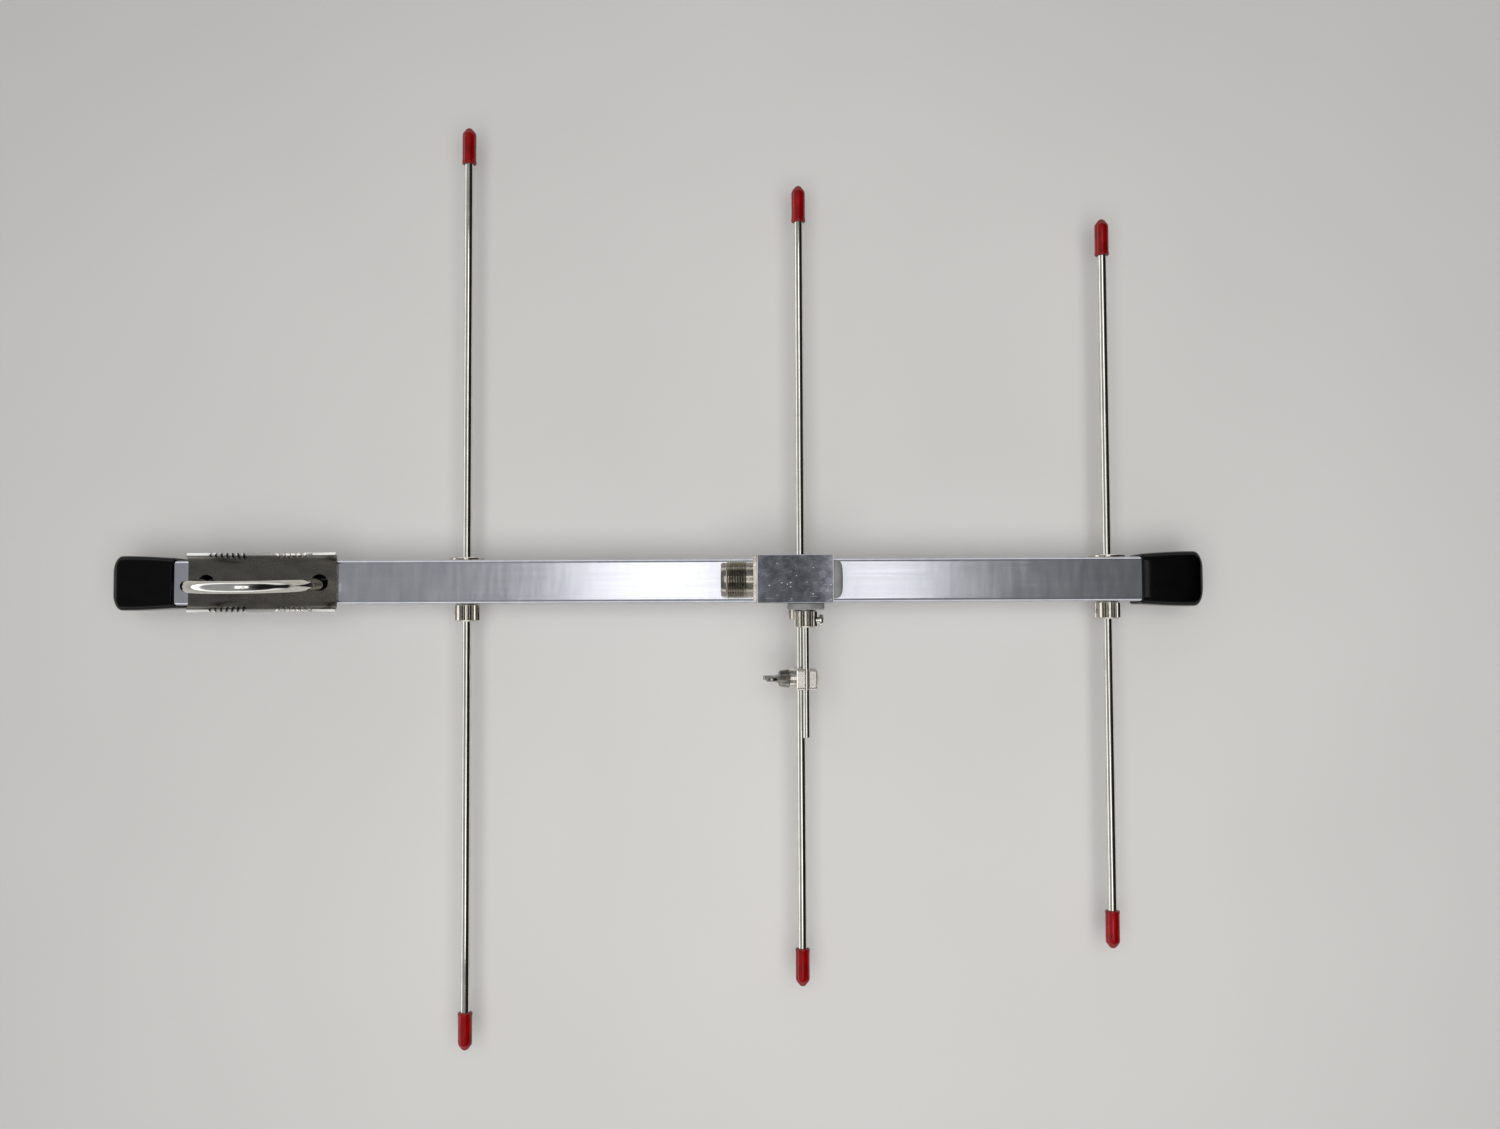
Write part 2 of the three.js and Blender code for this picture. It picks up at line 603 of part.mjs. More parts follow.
// The grey insulating bush: a barrel through the box wall and a flange below it.
function gammaBush() {
  const bore = GAMMA.radius + GAP;
  const wall = -BOX.size / 2;
  const top = wall + BOX.wall + GAMMA_BUSH.inside;
  const foot = wall - GAMMA_BUSH.flange;
  return turned([
    [bore, foot], [GAMMA_BUSH.radius - 0.3, foot], [GAMMA_BUSH.radius, foot + 0.3],
    [GAMMA_BUSH.radius, wall - 0.2], [GAMMA_BUSH.radius - 0.2, wall],
    [GAMMA_BUSH.barrelRadius, wall], [GAMMA_BUSH.barrelRadius, top], [bore, top], [bore, foot],
  ], ALONG_Y, [GAMMA.x, 0, BOX_Z], 20);
}

function couplerTop() {
  return -BOX.size / 2 - GAMMA_BUSH.flange - GAP;
}

// The knurled coupler round the top of the gamma rod, tapped from +X.
function gammaCoupler() {
  const top = couplerTop();
  const foot = top - COUPLER.height;
  const bore = GAMMA.radius + GAP;
  const { radius } = COUPLER;
  const body = turned([
    [bore, foot], [radius - 0.3, foot], [radius, foot + 0.3], [radius, top - 0.3],
    [radius - 0.3, top], [bore, top], [bore, foot],
  ], ALONG_Y, [GAMMA.x, 0, BOX_Z], 20);
  const y = top - COUPLER.screwDrop;
  const tap = bar(
    COUPLER_SCREW.radius + GAP, [GAMMA.x, y, BOX_Z], [GAMMA.x + radius + 1, y, BOX_Z], 16);
  return cut(body, tap);
}

// A pan-head screw that bears on the gamma rod, with a slot across its head.
function couplerScrew() {
  const { radius, standOff, head, headHeight, slot } = COUPLER_SCREW;
  const under = COUPLER.radius + standOff;
  const y = couplerTop() - COUPLER.screwDrop;
  const start = GAMMA.radius + GAP + 0.1;
  const body = turned([
    [0, start], [radius - 0.3, start], [radius, start + 0.4], [radius, under], [head, under],
    [head, under + headHeight * 0.5], [head * 0.75, under + headHeight * 0.88],
    [0, under + headHeight],
  ], ALONG_X, [GAMMA.x, y, BOX_Z], 20);
  const groove = new THREE.BoxGeometry(1.6, slot, head * 3);
  groove.rotateX(0.5).translate(GAMMA.x + under + headHeight, y, BOX_Z);
  return cut(body, groove);
}

function addGammaRod() {
  add('gamma_bush', gammaBush(), GREY_PLASTIC);
  add('gamma_coupler', gammaCoupler(), NICKEL);
  add('gamma_coupler_screw', couplerScrew(), BRIGHT_STEEL);
  const [top, end] = [[GAMMA.x, GAMMA.top, BOX_Z], [GAMMA.x, GAMMA.end, BOX_Z]];
  add('gamma_rod', bar(GAMMA.radius, end, top, 20), BRIGHT_STEEL);
}

// One jaw of the shorting clamp, on the side of +X or -X, with a groove for each rod.
function clampJaw(side, rodOffset) {
  const { height, halfLength, gap, thickness, corner } = CLAMP;
  const face = roundedRectangle(height, halfLength * 2, corner);
  const bevel = 0.4;
  const options = {
    depth: thickness - bevel, bevelEnabled: true, bevelThickness: bevel, bevelSize: bevel,
    bevelOffset: -bevel, bevelSegments: 1, curveSegments: 2,
  };
  const turn = new THREE.Matrix4().makeBasis(ALONG_Y, ALONG_Z, ALONG_X);
  const block = new THREE.ExtrudeGeometry(face, options).applyMatrix4(turn);
  block.translate(gap, 0, 0);
  const trim = new THREE.BoxGeometry(2, height * 2, halfLength * 3).translate(gap - 1, 0, 0);
  const grooves = [[ROD_RADIUS, -rodOffset], [GAMMA.radius, rodOffset]].map(([radius, z]) =>
    bar(radius + GAP, [0, -height, z], [0, height, z], 18));
  const screwHole = bar(CLAMP_SCREW.radius + GAP, [-1, 0, 0], [gap + thickness + 1, 0, 0]);
  const jaw = cut(block, trim, ...grooves, screwHole);
  return side > 0 ? jaw : jaw.rotateZ(Math.PI);
}

// The domed screw that draws the jaws together; its thread points along -X.
function clampScrew() {
  const { radius, head, headHeight, end } = CLAMP_SCREW;
  const seat = CLAMP.gap + CLAMP.thickness;
  const profile = [[0, end], [radius - 0.4, end], [radius, end + 0.5], [radius, seat], [head, seat]];
  const steps = 4;
  for (let i = 1; i <= steps; i++) {
    const angle = (i / steps) * Math.PI / 2;
    profile.push([head * Math.cos(angle), seat + 0.5 + (headHeight - 0.5) * Math.sin(angle)]);
  }
  profile[profile.length - 1][0] = 0;
  const body = turned(profile, ALONG_X, [0, 0, 0], 28);
  const arms = [[0.9, 3.6], [3.6, 0.9]].map(([h, l]) =>
    new THREE.BoxGeometry(2, h, l).translate(seat + headHeight, 0, 0));
  return cut(body, ...arms);
}

// Half the outline of the wings, as height over distance from the axis.
function wingOutline() {
  const { span, height, hub } = WING_NUT;
  const tip = span / 2;
  const outline = new THREE.Shape();
  outline.moveTo(0, 0.8);
  outline.lineTo(3.4, 0.8);
  outline.bezierCurveTo(5, 1.6, 6.4, 3, tip - 0.9, 5);
  outline.bezierCurveTo(tip + 0.2, 6.4, tip + 0.3, 8.6, tip - 0.6, height - 0.6);
  outline.bezierCurveTo(tip - 1.4, height + 0.2, tip - 2.6, height + 0.2, tip - 3.3, height - 1);
  outline.bezierCurveTo(tip - 4.2, 7.6, 4.6, 5.4, 2.6, hub);
  outline.lineTo(0, hub);
  outline.closePath();
  return outline;
}

// The wing nut, made about +Y with its bearing face at 0.
function wingNut() {
  const { base, top, hub, thickness } = WING_NUT;
  const cone = turned([
    [0, 0], [base, 0], [base, 0.8], [top, hub - 0.4], [top - 0.5, hub], [0, hub],
  ], ALONG_Y, [0, 0, 0], 22);
  const bevel = 0.5;
  const options = {
    depth: thickness - 2 * bevel, bevelEnabled: true, bevelThickness: bevel, bevelSize: bevel,
    bevelOffset: -bevel, bevelSegments: 1, curveSegments: 5,
  };
  const wing = new THREE.ExtrudeGeometry(wingOutline(), options);
  wing.translate(0, 0, bevel - thickness / 2);
  const other = wing.clone().rotateY(Math.PI);
  const hole = bar(CLAMP_SCREW.radius + GAP, [0, -1, 0], [0, hub + 2, 0]);
  return cut(join(cone, wing, other), hole);
}

function addShortingClamp() {
  const driven = ELEMENTS.find(({ name }) => name === 'driven');
  const [dx, dz] = [GAMMA.x - driven.x, BOX_Z - BOOM_Z];
  const site = new THREE.Group();
  site.position.set(driven.x + dx / 2, CLAMP.y, BOOM_Z + dz / 2);
  site.rotation.y = Math.atan2(dx, dz);
  antenna.add(site);
  const rodOffset = Math.hypot(dx, dz) / 2;
  add('clamp_jaw_front', clampJaw(1, rodOffset), NICKEL, site);
  add('clamp_jaw_rear', clampJaw(-1, rodOffset), NICKEL, site);
  add('clamp_screw', clampScrew(), BRIGHT_STEEL, site);
  const bore = CLAMP_SCREW.radius + GAP;
  const back = ALONG_X.clone().negate();
  let along = CLAMP.gap + CLAMP.thickness;
  const washer = ring(bore, CLAMP_WASHER.radius, 0, CLAMP_WASHER.thickness, back, [-along, 0, 0]);
  add('clamp_washer', washer, BRIGHT_STEEL, site);
  along += CLAMP_WASHER.thickness;
  const spring = springWasher(
    bore, CLAMP_SPRING.radius, CLAMP_SPRING.thickness, CLAMP_SPRING.split);
  add('clamp_spring_washer', stand(spring, back, -along, 0, 0), BRIGHT_STEEL, site);
  along += CLAMP_SPRING.thickness + GAP / 2;
  const nut = wingNut().rotateY(Math.PI / 2);
  add('wing_nut', stand(nut, back, -along, 0, 0), BRIGHT_STEEL, site);
}

// ---------------------------------------------------------------- the whole antenna

addBoom();
addMastClamp();
ELEMENTS.forEach(addElement);
addFeedBox();
addJack();
addGammaRod();
addShortingClamp();

export default antenna;
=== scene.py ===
# %% [markdown]
# # A yagi antenna, finished piece by piece
#
# The antenna is a square aluminium boom with three round rods across it. A small box feeds
# the middle rod, and a pressed saddle with a U-bolt holds the mast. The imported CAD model
# gives every piece its place and size. This lesson gives each of them its fine surface:
# rounded edges, threads, knurling, and a finish with the marks that its making leaves.

# %% Load the frame
import bmesh
import bpy
import json
import math
from mathutils import Matrix, Vector


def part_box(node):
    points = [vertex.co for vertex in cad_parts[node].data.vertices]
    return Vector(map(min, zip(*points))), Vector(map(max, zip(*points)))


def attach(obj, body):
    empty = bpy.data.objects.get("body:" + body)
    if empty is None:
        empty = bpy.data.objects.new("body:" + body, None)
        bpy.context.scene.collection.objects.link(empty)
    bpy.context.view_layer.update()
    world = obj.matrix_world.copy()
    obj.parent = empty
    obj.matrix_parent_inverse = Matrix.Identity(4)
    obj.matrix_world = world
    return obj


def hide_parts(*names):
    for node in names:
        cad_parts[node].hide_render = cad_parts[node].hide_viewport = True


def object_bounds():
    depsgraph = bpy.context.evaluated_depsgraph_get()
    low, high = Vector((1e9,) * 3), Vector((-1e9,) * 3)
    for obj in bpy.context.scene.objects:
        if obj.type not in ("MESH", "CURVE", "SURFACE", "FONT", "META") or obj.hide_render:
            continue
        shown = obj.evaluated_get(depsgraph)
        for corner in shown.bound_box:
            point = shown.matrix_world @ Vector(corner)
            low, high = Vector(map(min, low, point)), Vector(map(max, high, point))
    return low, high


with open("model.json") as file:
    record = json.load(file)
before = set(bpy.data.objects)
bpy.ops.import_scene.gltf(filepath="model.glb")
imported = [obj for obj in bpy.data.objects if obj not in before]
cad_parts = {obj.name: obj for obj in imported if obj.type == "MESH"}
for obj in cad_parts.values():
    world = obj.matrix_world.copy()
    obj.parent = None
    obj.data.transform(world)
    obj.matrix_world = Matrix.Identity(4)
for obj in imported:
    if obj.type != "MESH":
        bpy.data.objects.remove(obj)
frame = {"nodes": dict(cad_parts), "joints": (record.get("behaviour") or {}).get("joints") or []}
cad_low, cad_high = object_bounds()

MM = 0.001
nodes = frame["nodes"]
joints = {joint["name"]: joint for joint in frame["joints"]}
print("CAD nodes:", len(nodes), "joints:", len(joints))

# %% [markdown]
# ## Camera
#
# The antenna lies flat and is seen from straight above, from about half a metre away. At
# that distance the near pieces look larger than the far ones, so the camera's place matters
# as much as its lens. It stands a little behind the driven element.

# %% Camera
SENSOR = 36
LENS = 30.48
NEAREST = 0.01
CAMERA_PLACE = Vector((208.75, -16.15, 538.26)) * MM
CAMERA_TURN = (math.radians(2.43), math.radians(0.191), math.radians(-0.252))


def place_object(name, data):
    """A new object, linked to the scene."""
    made = bpy.data.objects.new(name, data)
    bpy.context.scene.collection.objects.link(made)
    return made


camera_data = bpy.data.cameras.new("camera")
camera_data.sensor_width = SENSOR
camera_data.lens = LENS
camera_data.clip_start = NEAREST
camera = place_object("camera", camera_data)
camera.location = CAMERA_PLACE
camera.rotation_euler = CAMERA_TURN
bpy.context.scene.camera = camera
print("camera", [round(c, 3) for c in camera.location])

# %% [markdown]
# ## A helper for nodes, and one for colours
#
# Materials, the world and Geometry Nodes are all node trees. One function adds a node, sets
# its properties, and fills its inputs with values or with links from earlier nodes. Colours
# are written as sRGB hex, as on a paint chart, and turned to the linear values that
# Blender's shaders work in.

# %% Node and colour helpers
def add_node(tree, kind, settings=None, inputs=None):
    """A new node. An input is a value, an earlier node, or a pair of a node and its output."""
    node = tree.nodes.new(kind)
    for name, value in (settings or {}).items():
        setattr(node, name, value)
    for socket, value in (inputs or {}).items():
        if isinstance(value, bpy.types.Node):
            value = (value, 0)
        if isinstance(value, tuple) and isinstance(value[0], bpy.types.Node):
            tree.links.new(value[0].outputs[value[1]], node.inputs[socket])
        else:
            node.inputs[socket].default_value = value
    return node


def ranged(source, start, stop, low, high):
    """Inputs that take a source's range, start to stop, to the range low to high."""
    return {"Value": source, "From Min": start, "From Max": stop, "To Min": low, "To Max": high}


def linear(hex_text):
    """An sRGB hex colour as linear red, green, blue and alpha."""
    channels = [int(hex_text[i:i + 2], 16) / 255 for i in (1, 3, 5)]
    bent = [c / 12.92 if c <= 0.04045 else ((c + 0.055) / 1.055) ** 2.4 for c in channels]
    return (*bent, 1.0)


print("linear mid grey:", [round(c, 3) for c in linear("#808080")])

# %% [markdown]
# ## Light
#
# Polished metal shows its surroundings more than its own colour, so two jobs are kept apart.
# A soft box lights the floor and gives the soft shadows, and is hidden from reflections.
# Four dimmer panels hang over the antenna only to be mirrored in it. They leave a small gap
# above the feed box, so the flat boom flares white on both sides of a box that stays dark.

# %% Soft box and panels
LIGHT_COLOUR = "#fffefd"


def hang_light(name, across, along, height, radiance, mirrored):
    """A light that faces down over a range of X and Y, as bright whatever its size."""
    width, depth = across[1] - across[0], along[1] - along[0]
    light = bpy.data.lights.new(name, "AREA")
    light.shape = "RECTANGLE"
    light.size = width
    light.size_y = depth
    light.energy = radiance * math.pi * width * depth
    light.color = linear(LIGHT_COLOUR)[:3]
    lamp = place_object(name, light)
    lamp.location = (sum(across) / 2, sum(along) / 2, height)
    lamp.visible_glossy = mirrored
    print(name, "power", round(light.energy, 2))


SOFT_BOX = ((-0.05, 0.49), (-0.39, 0.15))
SOFT_BOX_HEIGHT = 0.67
SOFT_BOX_BRIGHTNESS = 3.65
PANEL_HEIGHT = 1.5
PANEL_BRIGHTNESS = 1.68
PANELS = {
    "panel_left": ((-0.078, 0.195), (-0.55, 0.6)),
    "panel_right": ((0.335, 0.49), (-0.55, 0.6)),
    "panel_far": ((0.195, 0.335), (0.34, 0.6)),
    "panel_near": ((0.195, 0.335), (-0.55, -0.24)),
}

hang_light("soft_box", *SOFT_BOX, SOFT_BOX_HEIGHT, SOFT_BOX_BRIGHTNESS, mirrored=False)
for name, (across, along) in PANELS.items():
    hang_light(name, across, along, PANEL_HEIGHT, PANEL_BRIGHTNESS, mirrored=True)

# %% [markdown]
# The room itself is dim. Overhead it fades from the left to a nearly black right side, which
# gives each rod its dark right flank. Low down, it is bright on the left and along both long
# sides, like a room with pale walls, and that puts a bright line on every rounded edge. The
# camera sees a plain pale backdrop instead, where it looks past the floor.

# %% The dim room
ROOM_LEFT = 0.38
ROOM_RIGHT = 0.015
WINDOW = 1.5
WALLS = 1.1
ROOM_TINT = "#f4f6f8"
BACKDROP = "#c9c8c5"

world = bpy.data.worlds.new("dim_room")
bpy.context.scene.world = world
world.use_nodes = True
sky = world.node_tree
sky.nodes.clear()
towards = add_node(sky, "ShaderNodeTexCoord")
parts = add_node(sky, "ShaderNodeSeparateXYZ", inputs={"Vector": (towards, "Generated")})
sideways = add_node(sky, "ShaderNodeMath", {"operation": "ABSOLUTE"}, {0: (parts, "Y")})
overhead, leftness, lowness, walls = [
    add_node(sky, "ShaderNodeMapRange", {"interpolation_type": "SMOOTHSTEP"}, ranged(*steps))
    for steps in (((parts, "X"), -0.1, 0.57, ROOM_LEFT, ROOM_RIGHT),
                  ((parts, "X"), -0.6, -0.9, 0.0, 1.0),
                  ((parts, "Z"), 0.45, 0.22, 0.0, 1.0),
                  (sideways, 0.35, 0.65, 0.0, WALLS / WINDOW))]
brighter = add_node(sky, "ShaderNodeMath", {"operation": "MAXIMUM"}, {0: leftness, 1: walls})
window = add_node(sky, "ShaderNodeMath", {"operation": "MULTIPLY"}, {0: brighter, 1: lowness})
strength = add_node(
    sky, "ShaderNodeMath", {"operation": "MULTIPLY_ADD"}, {0: window, 1: WINDOW, 2: overhead})
room = add_node(
    sky, "ShaderNodeBackground", inputs={"Color": linear(ROOM_TINT), "Strength": strength})
backdrop = add_node(sky, "ShaderNodeBackground", inputs={"Color": linear(BACKDROP)})
ray = add_node(sky, "ShaderNodeLightPath")
seen = add_node(
    sky, "ShaderNodeMixShader", inputs={0: (ray, "Is Camera Ray"), 1: room, 2: backdrop})
add_node(sky, "ShaderNodeOutputWorld", inputs={"Surface": seen})
bpy.context.scene.view_settings.view_transform = "Standard"
print("world nodes:", len(sky.nodes))

# %% [markdown]
# ## Finishes
#
# A surface is told by how it was made: drawn through a die, rolled, pressed, turned, cast,
# plated, dipped or moulded. Each of those leaves marks of a known size and direction. So a
# finish here is a recipe of grains, each with its size in millimetres. One grain tints the
# surface, one dulls it, and one gives it relief. All grains read Object coordinates, because
# every finished piece sits at the origin with its place in its mesh.

# %% The recipe of a finish
METAL = {"Metallic": 1.0}


def new_finish(name, grains, tint, span=(0.35, 0.65), dull=None, relief=None,
               constants=METAL):
    """A material for one of the record's slots, and its nodes by name.

    A grain is its size in millimetres, its detail, and how far it is drawn out along X, Y
    and Z. The tint is a grain and two colours, which span a range of the grain. The dullness
    is a grain and two roughnesses. The relief is a grain, a depth in mm and a strength.
    """
    material = bpy.data.materials.new(name)
    material.use_nodes = True
    tree = material.node_tree
    tree.nodes.clear()
    shader = add_node(tree, "ShaderNodeBsdfPrincipled", inputs=constants)
    add_node(tree, "ShaderNodeOutputMaterial", inputs={"Surface": shader})
    place = add_node(tree, "ShaderNodeTexCoord")
    made = {"tree": tree, "shader": shader, "place": place}
    for label, (size, detail, *stretch) in grains.items():
        scale = tuple(1 / (size * MM * s) for s in (stretch or (1, 1, 1)))
        mapping = add_node(
            tree, "ShaderNodeMapping", inputs={"Vector": (place, "Object"), "Scale": scale})
        made[label] = add_node(
            tree, "ShaderNodeTexNoise",
            inputs={"Vector": mapping, "Scale": 1.0, "Detail": detail, "Roughness": 0.55})
    made["tint"] = add_node(tree, "ShaderNodeValToRGB", inputs={"Fac": made[tint[0]]})
    for mark, position, colour in zip(made["tint"].color_ramp.elements, span, tint[1:]):
        mark.position = position
        mark.color = linear(colour)
    tree.links.new(made["tint"].outputs[0], shader.inputs["Base Color"])
    if dull:
        made["dull"] = add_node(
            tree, "ShaderNodeMapRange", inputs=ranged(made[dull[0]], 0.3, 0.7, *dull[1:]))
        tree.links.new(made["dull"].outputs[0], shader.inputs["Roughness"])
    if relief:
        label, depth, strength = relief
        bump = add_node(
            tree, "ShaderNodeBump",
            inputs={"Height": made[label], "Distance": depth * MM, "Strength": strength})
        tree.links.new(bump.outputs[0], shader.inputs["Normal"])
    print(name, "has", len(tree.nodes), "nodes")
    return material, made


def dull_more(made, source, amount):
    """Adds an amount of a source to a finish's roughness."""
    rough = add_node(
        made["tree"], "ShaderNodeMath", {"operation": "MULTIPLY_ADD"},
        {0: source, 1: amount, 2: made["dull"]})
    made["tree"].links.new(rough.outputs[0], made["shader"].inputs["Roughness"])


def lay_bare_and_highlight(made, mask, colour):
    """Lays a light colour over the tint wherever a mask is one: bare metal, and painted
    highlights and glints.
    """
    mixed = add_node(
        made["tree"], "ShaderNodeMix", {"data_type": "RGBA"},
        {"Factor": mask, 6: made["tint"], 7: linear(colour)})
    made["tree"].links.new(mixed.outputs[2], made["shader"].inputs["Base Color"])


def rim(made, axis, low, high, width_mm):
    """One within a width of either end of a range along an axis, and nothing between."""
    tree = made["tree"]
    parts = add_node(tree, "ShaderNodeSeparateXYZ", inputs={"Vector": (made["place"], "Object")})
    centred = add_node(
        tree, "ShaderNodeMath", {"operation": "SUBTRACT"},
        {0: (parts, axis), 1: (low + high) / 2})
    away = add_node(tree, "ShaderNodeMath", {"operation": "ABSOLUTE"}, {0: centred})
    edge = (high - low) / 2
    return add_node(
        tree, "ShaderNodeMapRange",
        inputs=ranged(away, edge - width_mm * MM, edge - width_mm * MM * 0.6, 0.0, 1.0))


print("a metal starts from", METAL)

# %% [markdown]
# ### Extruded aluminium
#
# The boom is a mill-finish extrusion. The die draws fine lines along its whole length, which
# are real grooves about 0.2 mm apart and microns deep, so they go into the relief, stretched
# a hundred times along X. Broader streaks along them change the roughness.

# %% Extruded aluminium
EXTRUDED_ALUMINIUM, extruded = new_finish(
    "extruded_aluminium",
    {"lines": (0.22, 4.0, 120, 1, 1), "streaks": (1.3, 2.0, 60, 1, 1),
     "clouds": (3.5, 4.0, 1, 5, 5)},
    tint=("clouds", "#c4c6cf", "#d3d4da"), span=(0.25, 0.75),
    dull=("clouds", 0.125, 0.16), relief=("lines", 0.003, 0.7))
dull_more(extruded, extruded["streaks"], 0.09)

# %% [markdown]
# ### Scuffed aluminium
#
# The feed box is a cut length of aluminium tube that was tumbled in a bin with others. Its
# faces are a dull bluish grey, with bright nicks about 0.3 mm across. Voronoi cells make the
# nicks: each cell's centre is a spot, and only a few are kept. The highest crests of a
# drawn-out noise make thin scratches. Every edge of the box is also painted bright: bare sawn
# metal at the cut ends, and a painted highlight along every edge. An edge is where two rims meet.

# %% Scuffed aluminium
# Width of the band painted bright along every edge of the box: a painted highlight, over bare
# sawn metal at the cut ends.
BRIGHT_EDGE_WIDTH = 0.28
NICKS_PER_METRE = (260, 520, 420)
box_low, box_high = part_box("feed_box")

SCUFFED_ALUMINIUM, scuffed = new_finish(
    "scuffed_aluminium",
    {"mottle": (3.2, 5.0), "fine": (0.5, 3.0, 2.5, 1, 1), "crests": (0.2, 1.0, 25, 1, 1)},
    tint=("mottle", "#63656d", "#95979f"), span=(0.3, 0.7), dull=("fine", 0.06, 0.11),
    relief=("fine", 0.01, 0.6))
box_tree = scuffed["tree"]
nick_place = add_node(
    box_tree, "ShaderNodeMapping",
    inputs={"Vector": (scuffed["place"], "Object"), "Scale": NICKS_PER_METRE})
cells = add_node(
    box_tree, "ShaderNodeTexVoronoi", inputs={"Vector": nick_place, "Scale": 1.0})
spots, kept, scratches = [
    add_node(box_tree, "ShaderNodeMapRange", inputs=ranged(*steps))
    for steps in (((cells, "Distance"), 0.05, 0.1, 1.0, 0.0),
                  (scuffed["mottle"], 0.47, 0.53, 0.0, 1.0),
                  (scuffed["crests"], 0.72, 0.8, 0.0, 0.35))]
marks = add_node(box_tree, "ShaderNodeMath", {"operation": "MULTIPLY"}, {0: spots, 1: kept})
# The ends and the long corners of the box, where the edges are painted bright as a painted
# highlight.
ends, sides, faces = [
    rim(scuffed, axis, box_low[axis], box_high[axis], BRIGHT_EDGE_WIDTH) for axis in (0, 1, 2)]
corners = add_node(box_tree, "ShaderNodeMath", {"operation": "MINIMUM"}, {0: sides, 1: faces})
for more in (scratches, ends, corners):
    marks = add_node(box_tree, "ShaderNodeMath", {"operation": "MAXIMUM"}, {0: marks, 1: more})
# Pale colour over the nicks, the scratches and the bare sawn ends, and the painted highlight on
# every edge.
lay_bare_and_highlight(scuffed, marks, "#f3f3f6")
dull_more(scuffed, marks, 0.4)

# %% [markdown]
# ### Zinc-plated pressed steel
#
# The mast saddle is stamped from sheet and zinc plated. The zinc takes the steel's rolled
# grain and dulls to a brownish grey, with slightly lighter and darker patches a few
# millimetres across. The sheared edge of the sheet, which carries the teeth, is painted bright:
# a painted glint on every tooth. It lies between the two faces of each flange, so its place
# across Y picks it out. Small screws and grub screws have the same plating.

# %% Zinc-plated steel
SHEET = 1.5
FACE = 0.06
saddle_low, saddle_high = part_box("mast_saddle")

ZINC_PLATED_STEEL, plated = new_finish(
    "zinc_plated_steel",
    {"patches": (6.0, 5.0, 2, 1, 1), "rolled": (0.35, 4.0, 6, 1, 1)},
    tint=("patches", "#605d57", "#75716a"), span=(0.3, 0.7), dull=("rolled", 0.2, 0.32),
    relief=("rolled", 0.006, 0.6))
# The sheared edge between the two faces of each flange is painted bright: a painted glint on the
# teeth.
within, outermost = [
    rim(plated, 1, saddle_low.y, saddle_high.y, width) for width in (SHEET, FACE)]
painted_edge_glint = add_node(
    plated["tree"], "ShaderNodeMath", {"operation": "SUBTRACT", "use_clamp": True},
    {0: within, 1: outermost})
lay_bare_and_highlight(plated, painted_edge_glint, "#e9e7e0")

# %% [markdown]
# ### Polished stainless steel
#
# The rods, the U-bolt and its nuts are bright drawn stainless steel. Centreless polishing
# leaves rings round the rods that are far too fine to see. What can be seen is a soft smear
# every few millimetres. The roughness stays low, because the steel mirrors the room.

# %% Polished stainless steel
POLISHED_STAINLESS, _ = new_finish(
    "polished_stainless", {"smears": (7.0, 3.0)},
    tint=("smears", "#d6d4cc", "#e4e2da"), dull=("smears", 0.06, 0.11))

# %% [markdown]
# ### Nickel plate, bright and satin
#
# The jack, the bushes and the collars are turned brass under nickel, which has a warm,
# yellowish cast. The jack's plating is worn and darker. The clamp's jaws are nickel too, but
# over a machined and tumbled block, so they come out lighter and satin. One function makes
# them all from a few numbers, and the die-cast zinc of the wing nut as well.

# %% Nickel plate
def nickel_plate(name, dark, light, smoothest, roughest):
    grains = {"fog": (2.4, 4.0), "tool": (0.16, 2.0, 1, 6, 1)}
    return new_finish(name, grains, ("fog", dark, light),
                      dull=("fog", smoothest, roughest), relief=("tool", 0.003, 0.4))[0]


BRIGHT_NICKEL = nickel_plate("bright_nickel_plate", "#bdb6ab", "#d2ccc2", 0.1, 0.18)
SATIN_NICKEL = nickel_plate("satin_nickel_plate", "#e2dbd2", "#efe9e1", 0.2, 0.3)
WORN_NICKEL = nickel_plate("worn_nickel_plate", "#89837a", "#a8a298", 0.1, 0.2)
CAST_ZINC = nickel_plate("plated_cast_zinc", "#85837d", "#a3a19a", 0.1, 0.18)

# %% [markdown]
# ### Brass
#
# The jack's centre contact and the lug inside the box are bare turned brass. It is the one
# yellow metal here, with a little tarnish in soft patches.

# %% Brass
TURNED_BRASS, _ = new_finish(
    "turned_brass", {"tarnish": (1.5, 4.0)},
    tint=("tarnish", "#c8a05a", "#e3c27c"), dull=("tarnish", 0.36, 0.2))

# %% [markdown]
# ## Plastic finishes
#
# Dipped vinyl is a thick PVC skin that cures with a liquid gloss. It ripples a little, over
# several millimetres, so its highlights waver. The moulded parts are a matt grey nylon with
# a fine spark-eroded grain, and the jack's insulator is white PTFE, which looks waxy.

# %% Dipped vinyl
VINYL_IOR = 1.5


def dipped_vinyl(name, dark, light, smoothest, roughest, shine):
    grains = {"ripple": (5.0, 2.0), "orange_peel": (0.9, 2.0)}
    return new_finish(name, grains, ("ripple", dark, light),
                      dull=("orange_peel", smoothest, roughest), relief=("ripple", 0.06, 0.4),
                      constants={"IOR": VINYL_IOR, "Specular IOR Level": shine})[0]


BLACK_VINYL = dipped_vinyl(
    "black_dipped_vinyl", "#010101", "#030303", 0.08, 0.14, 0.15)
RED_VINYL = dipped_vinyl(
    "red_dipped_vinyl", "#730104", "#8a0307", 0.1, 0.18, 0.35)

# %% Moulded nylon and PTFE
NYLON_IOR = 1.53
PTFE_IOR = 1.35


def moulded_plastic(name, dark, light, ior, smoothest, roughest):
    grains = {"flow": (4.0, 3.0), "spark": (0.12, 2.0)}
    return new_finish(name, grains, ("flow", dark, light),
                      dull=("flow", smoothest, roughest), relief=("spark", 0.01, 0.5),
                      constants={"IOR": ior})[0]


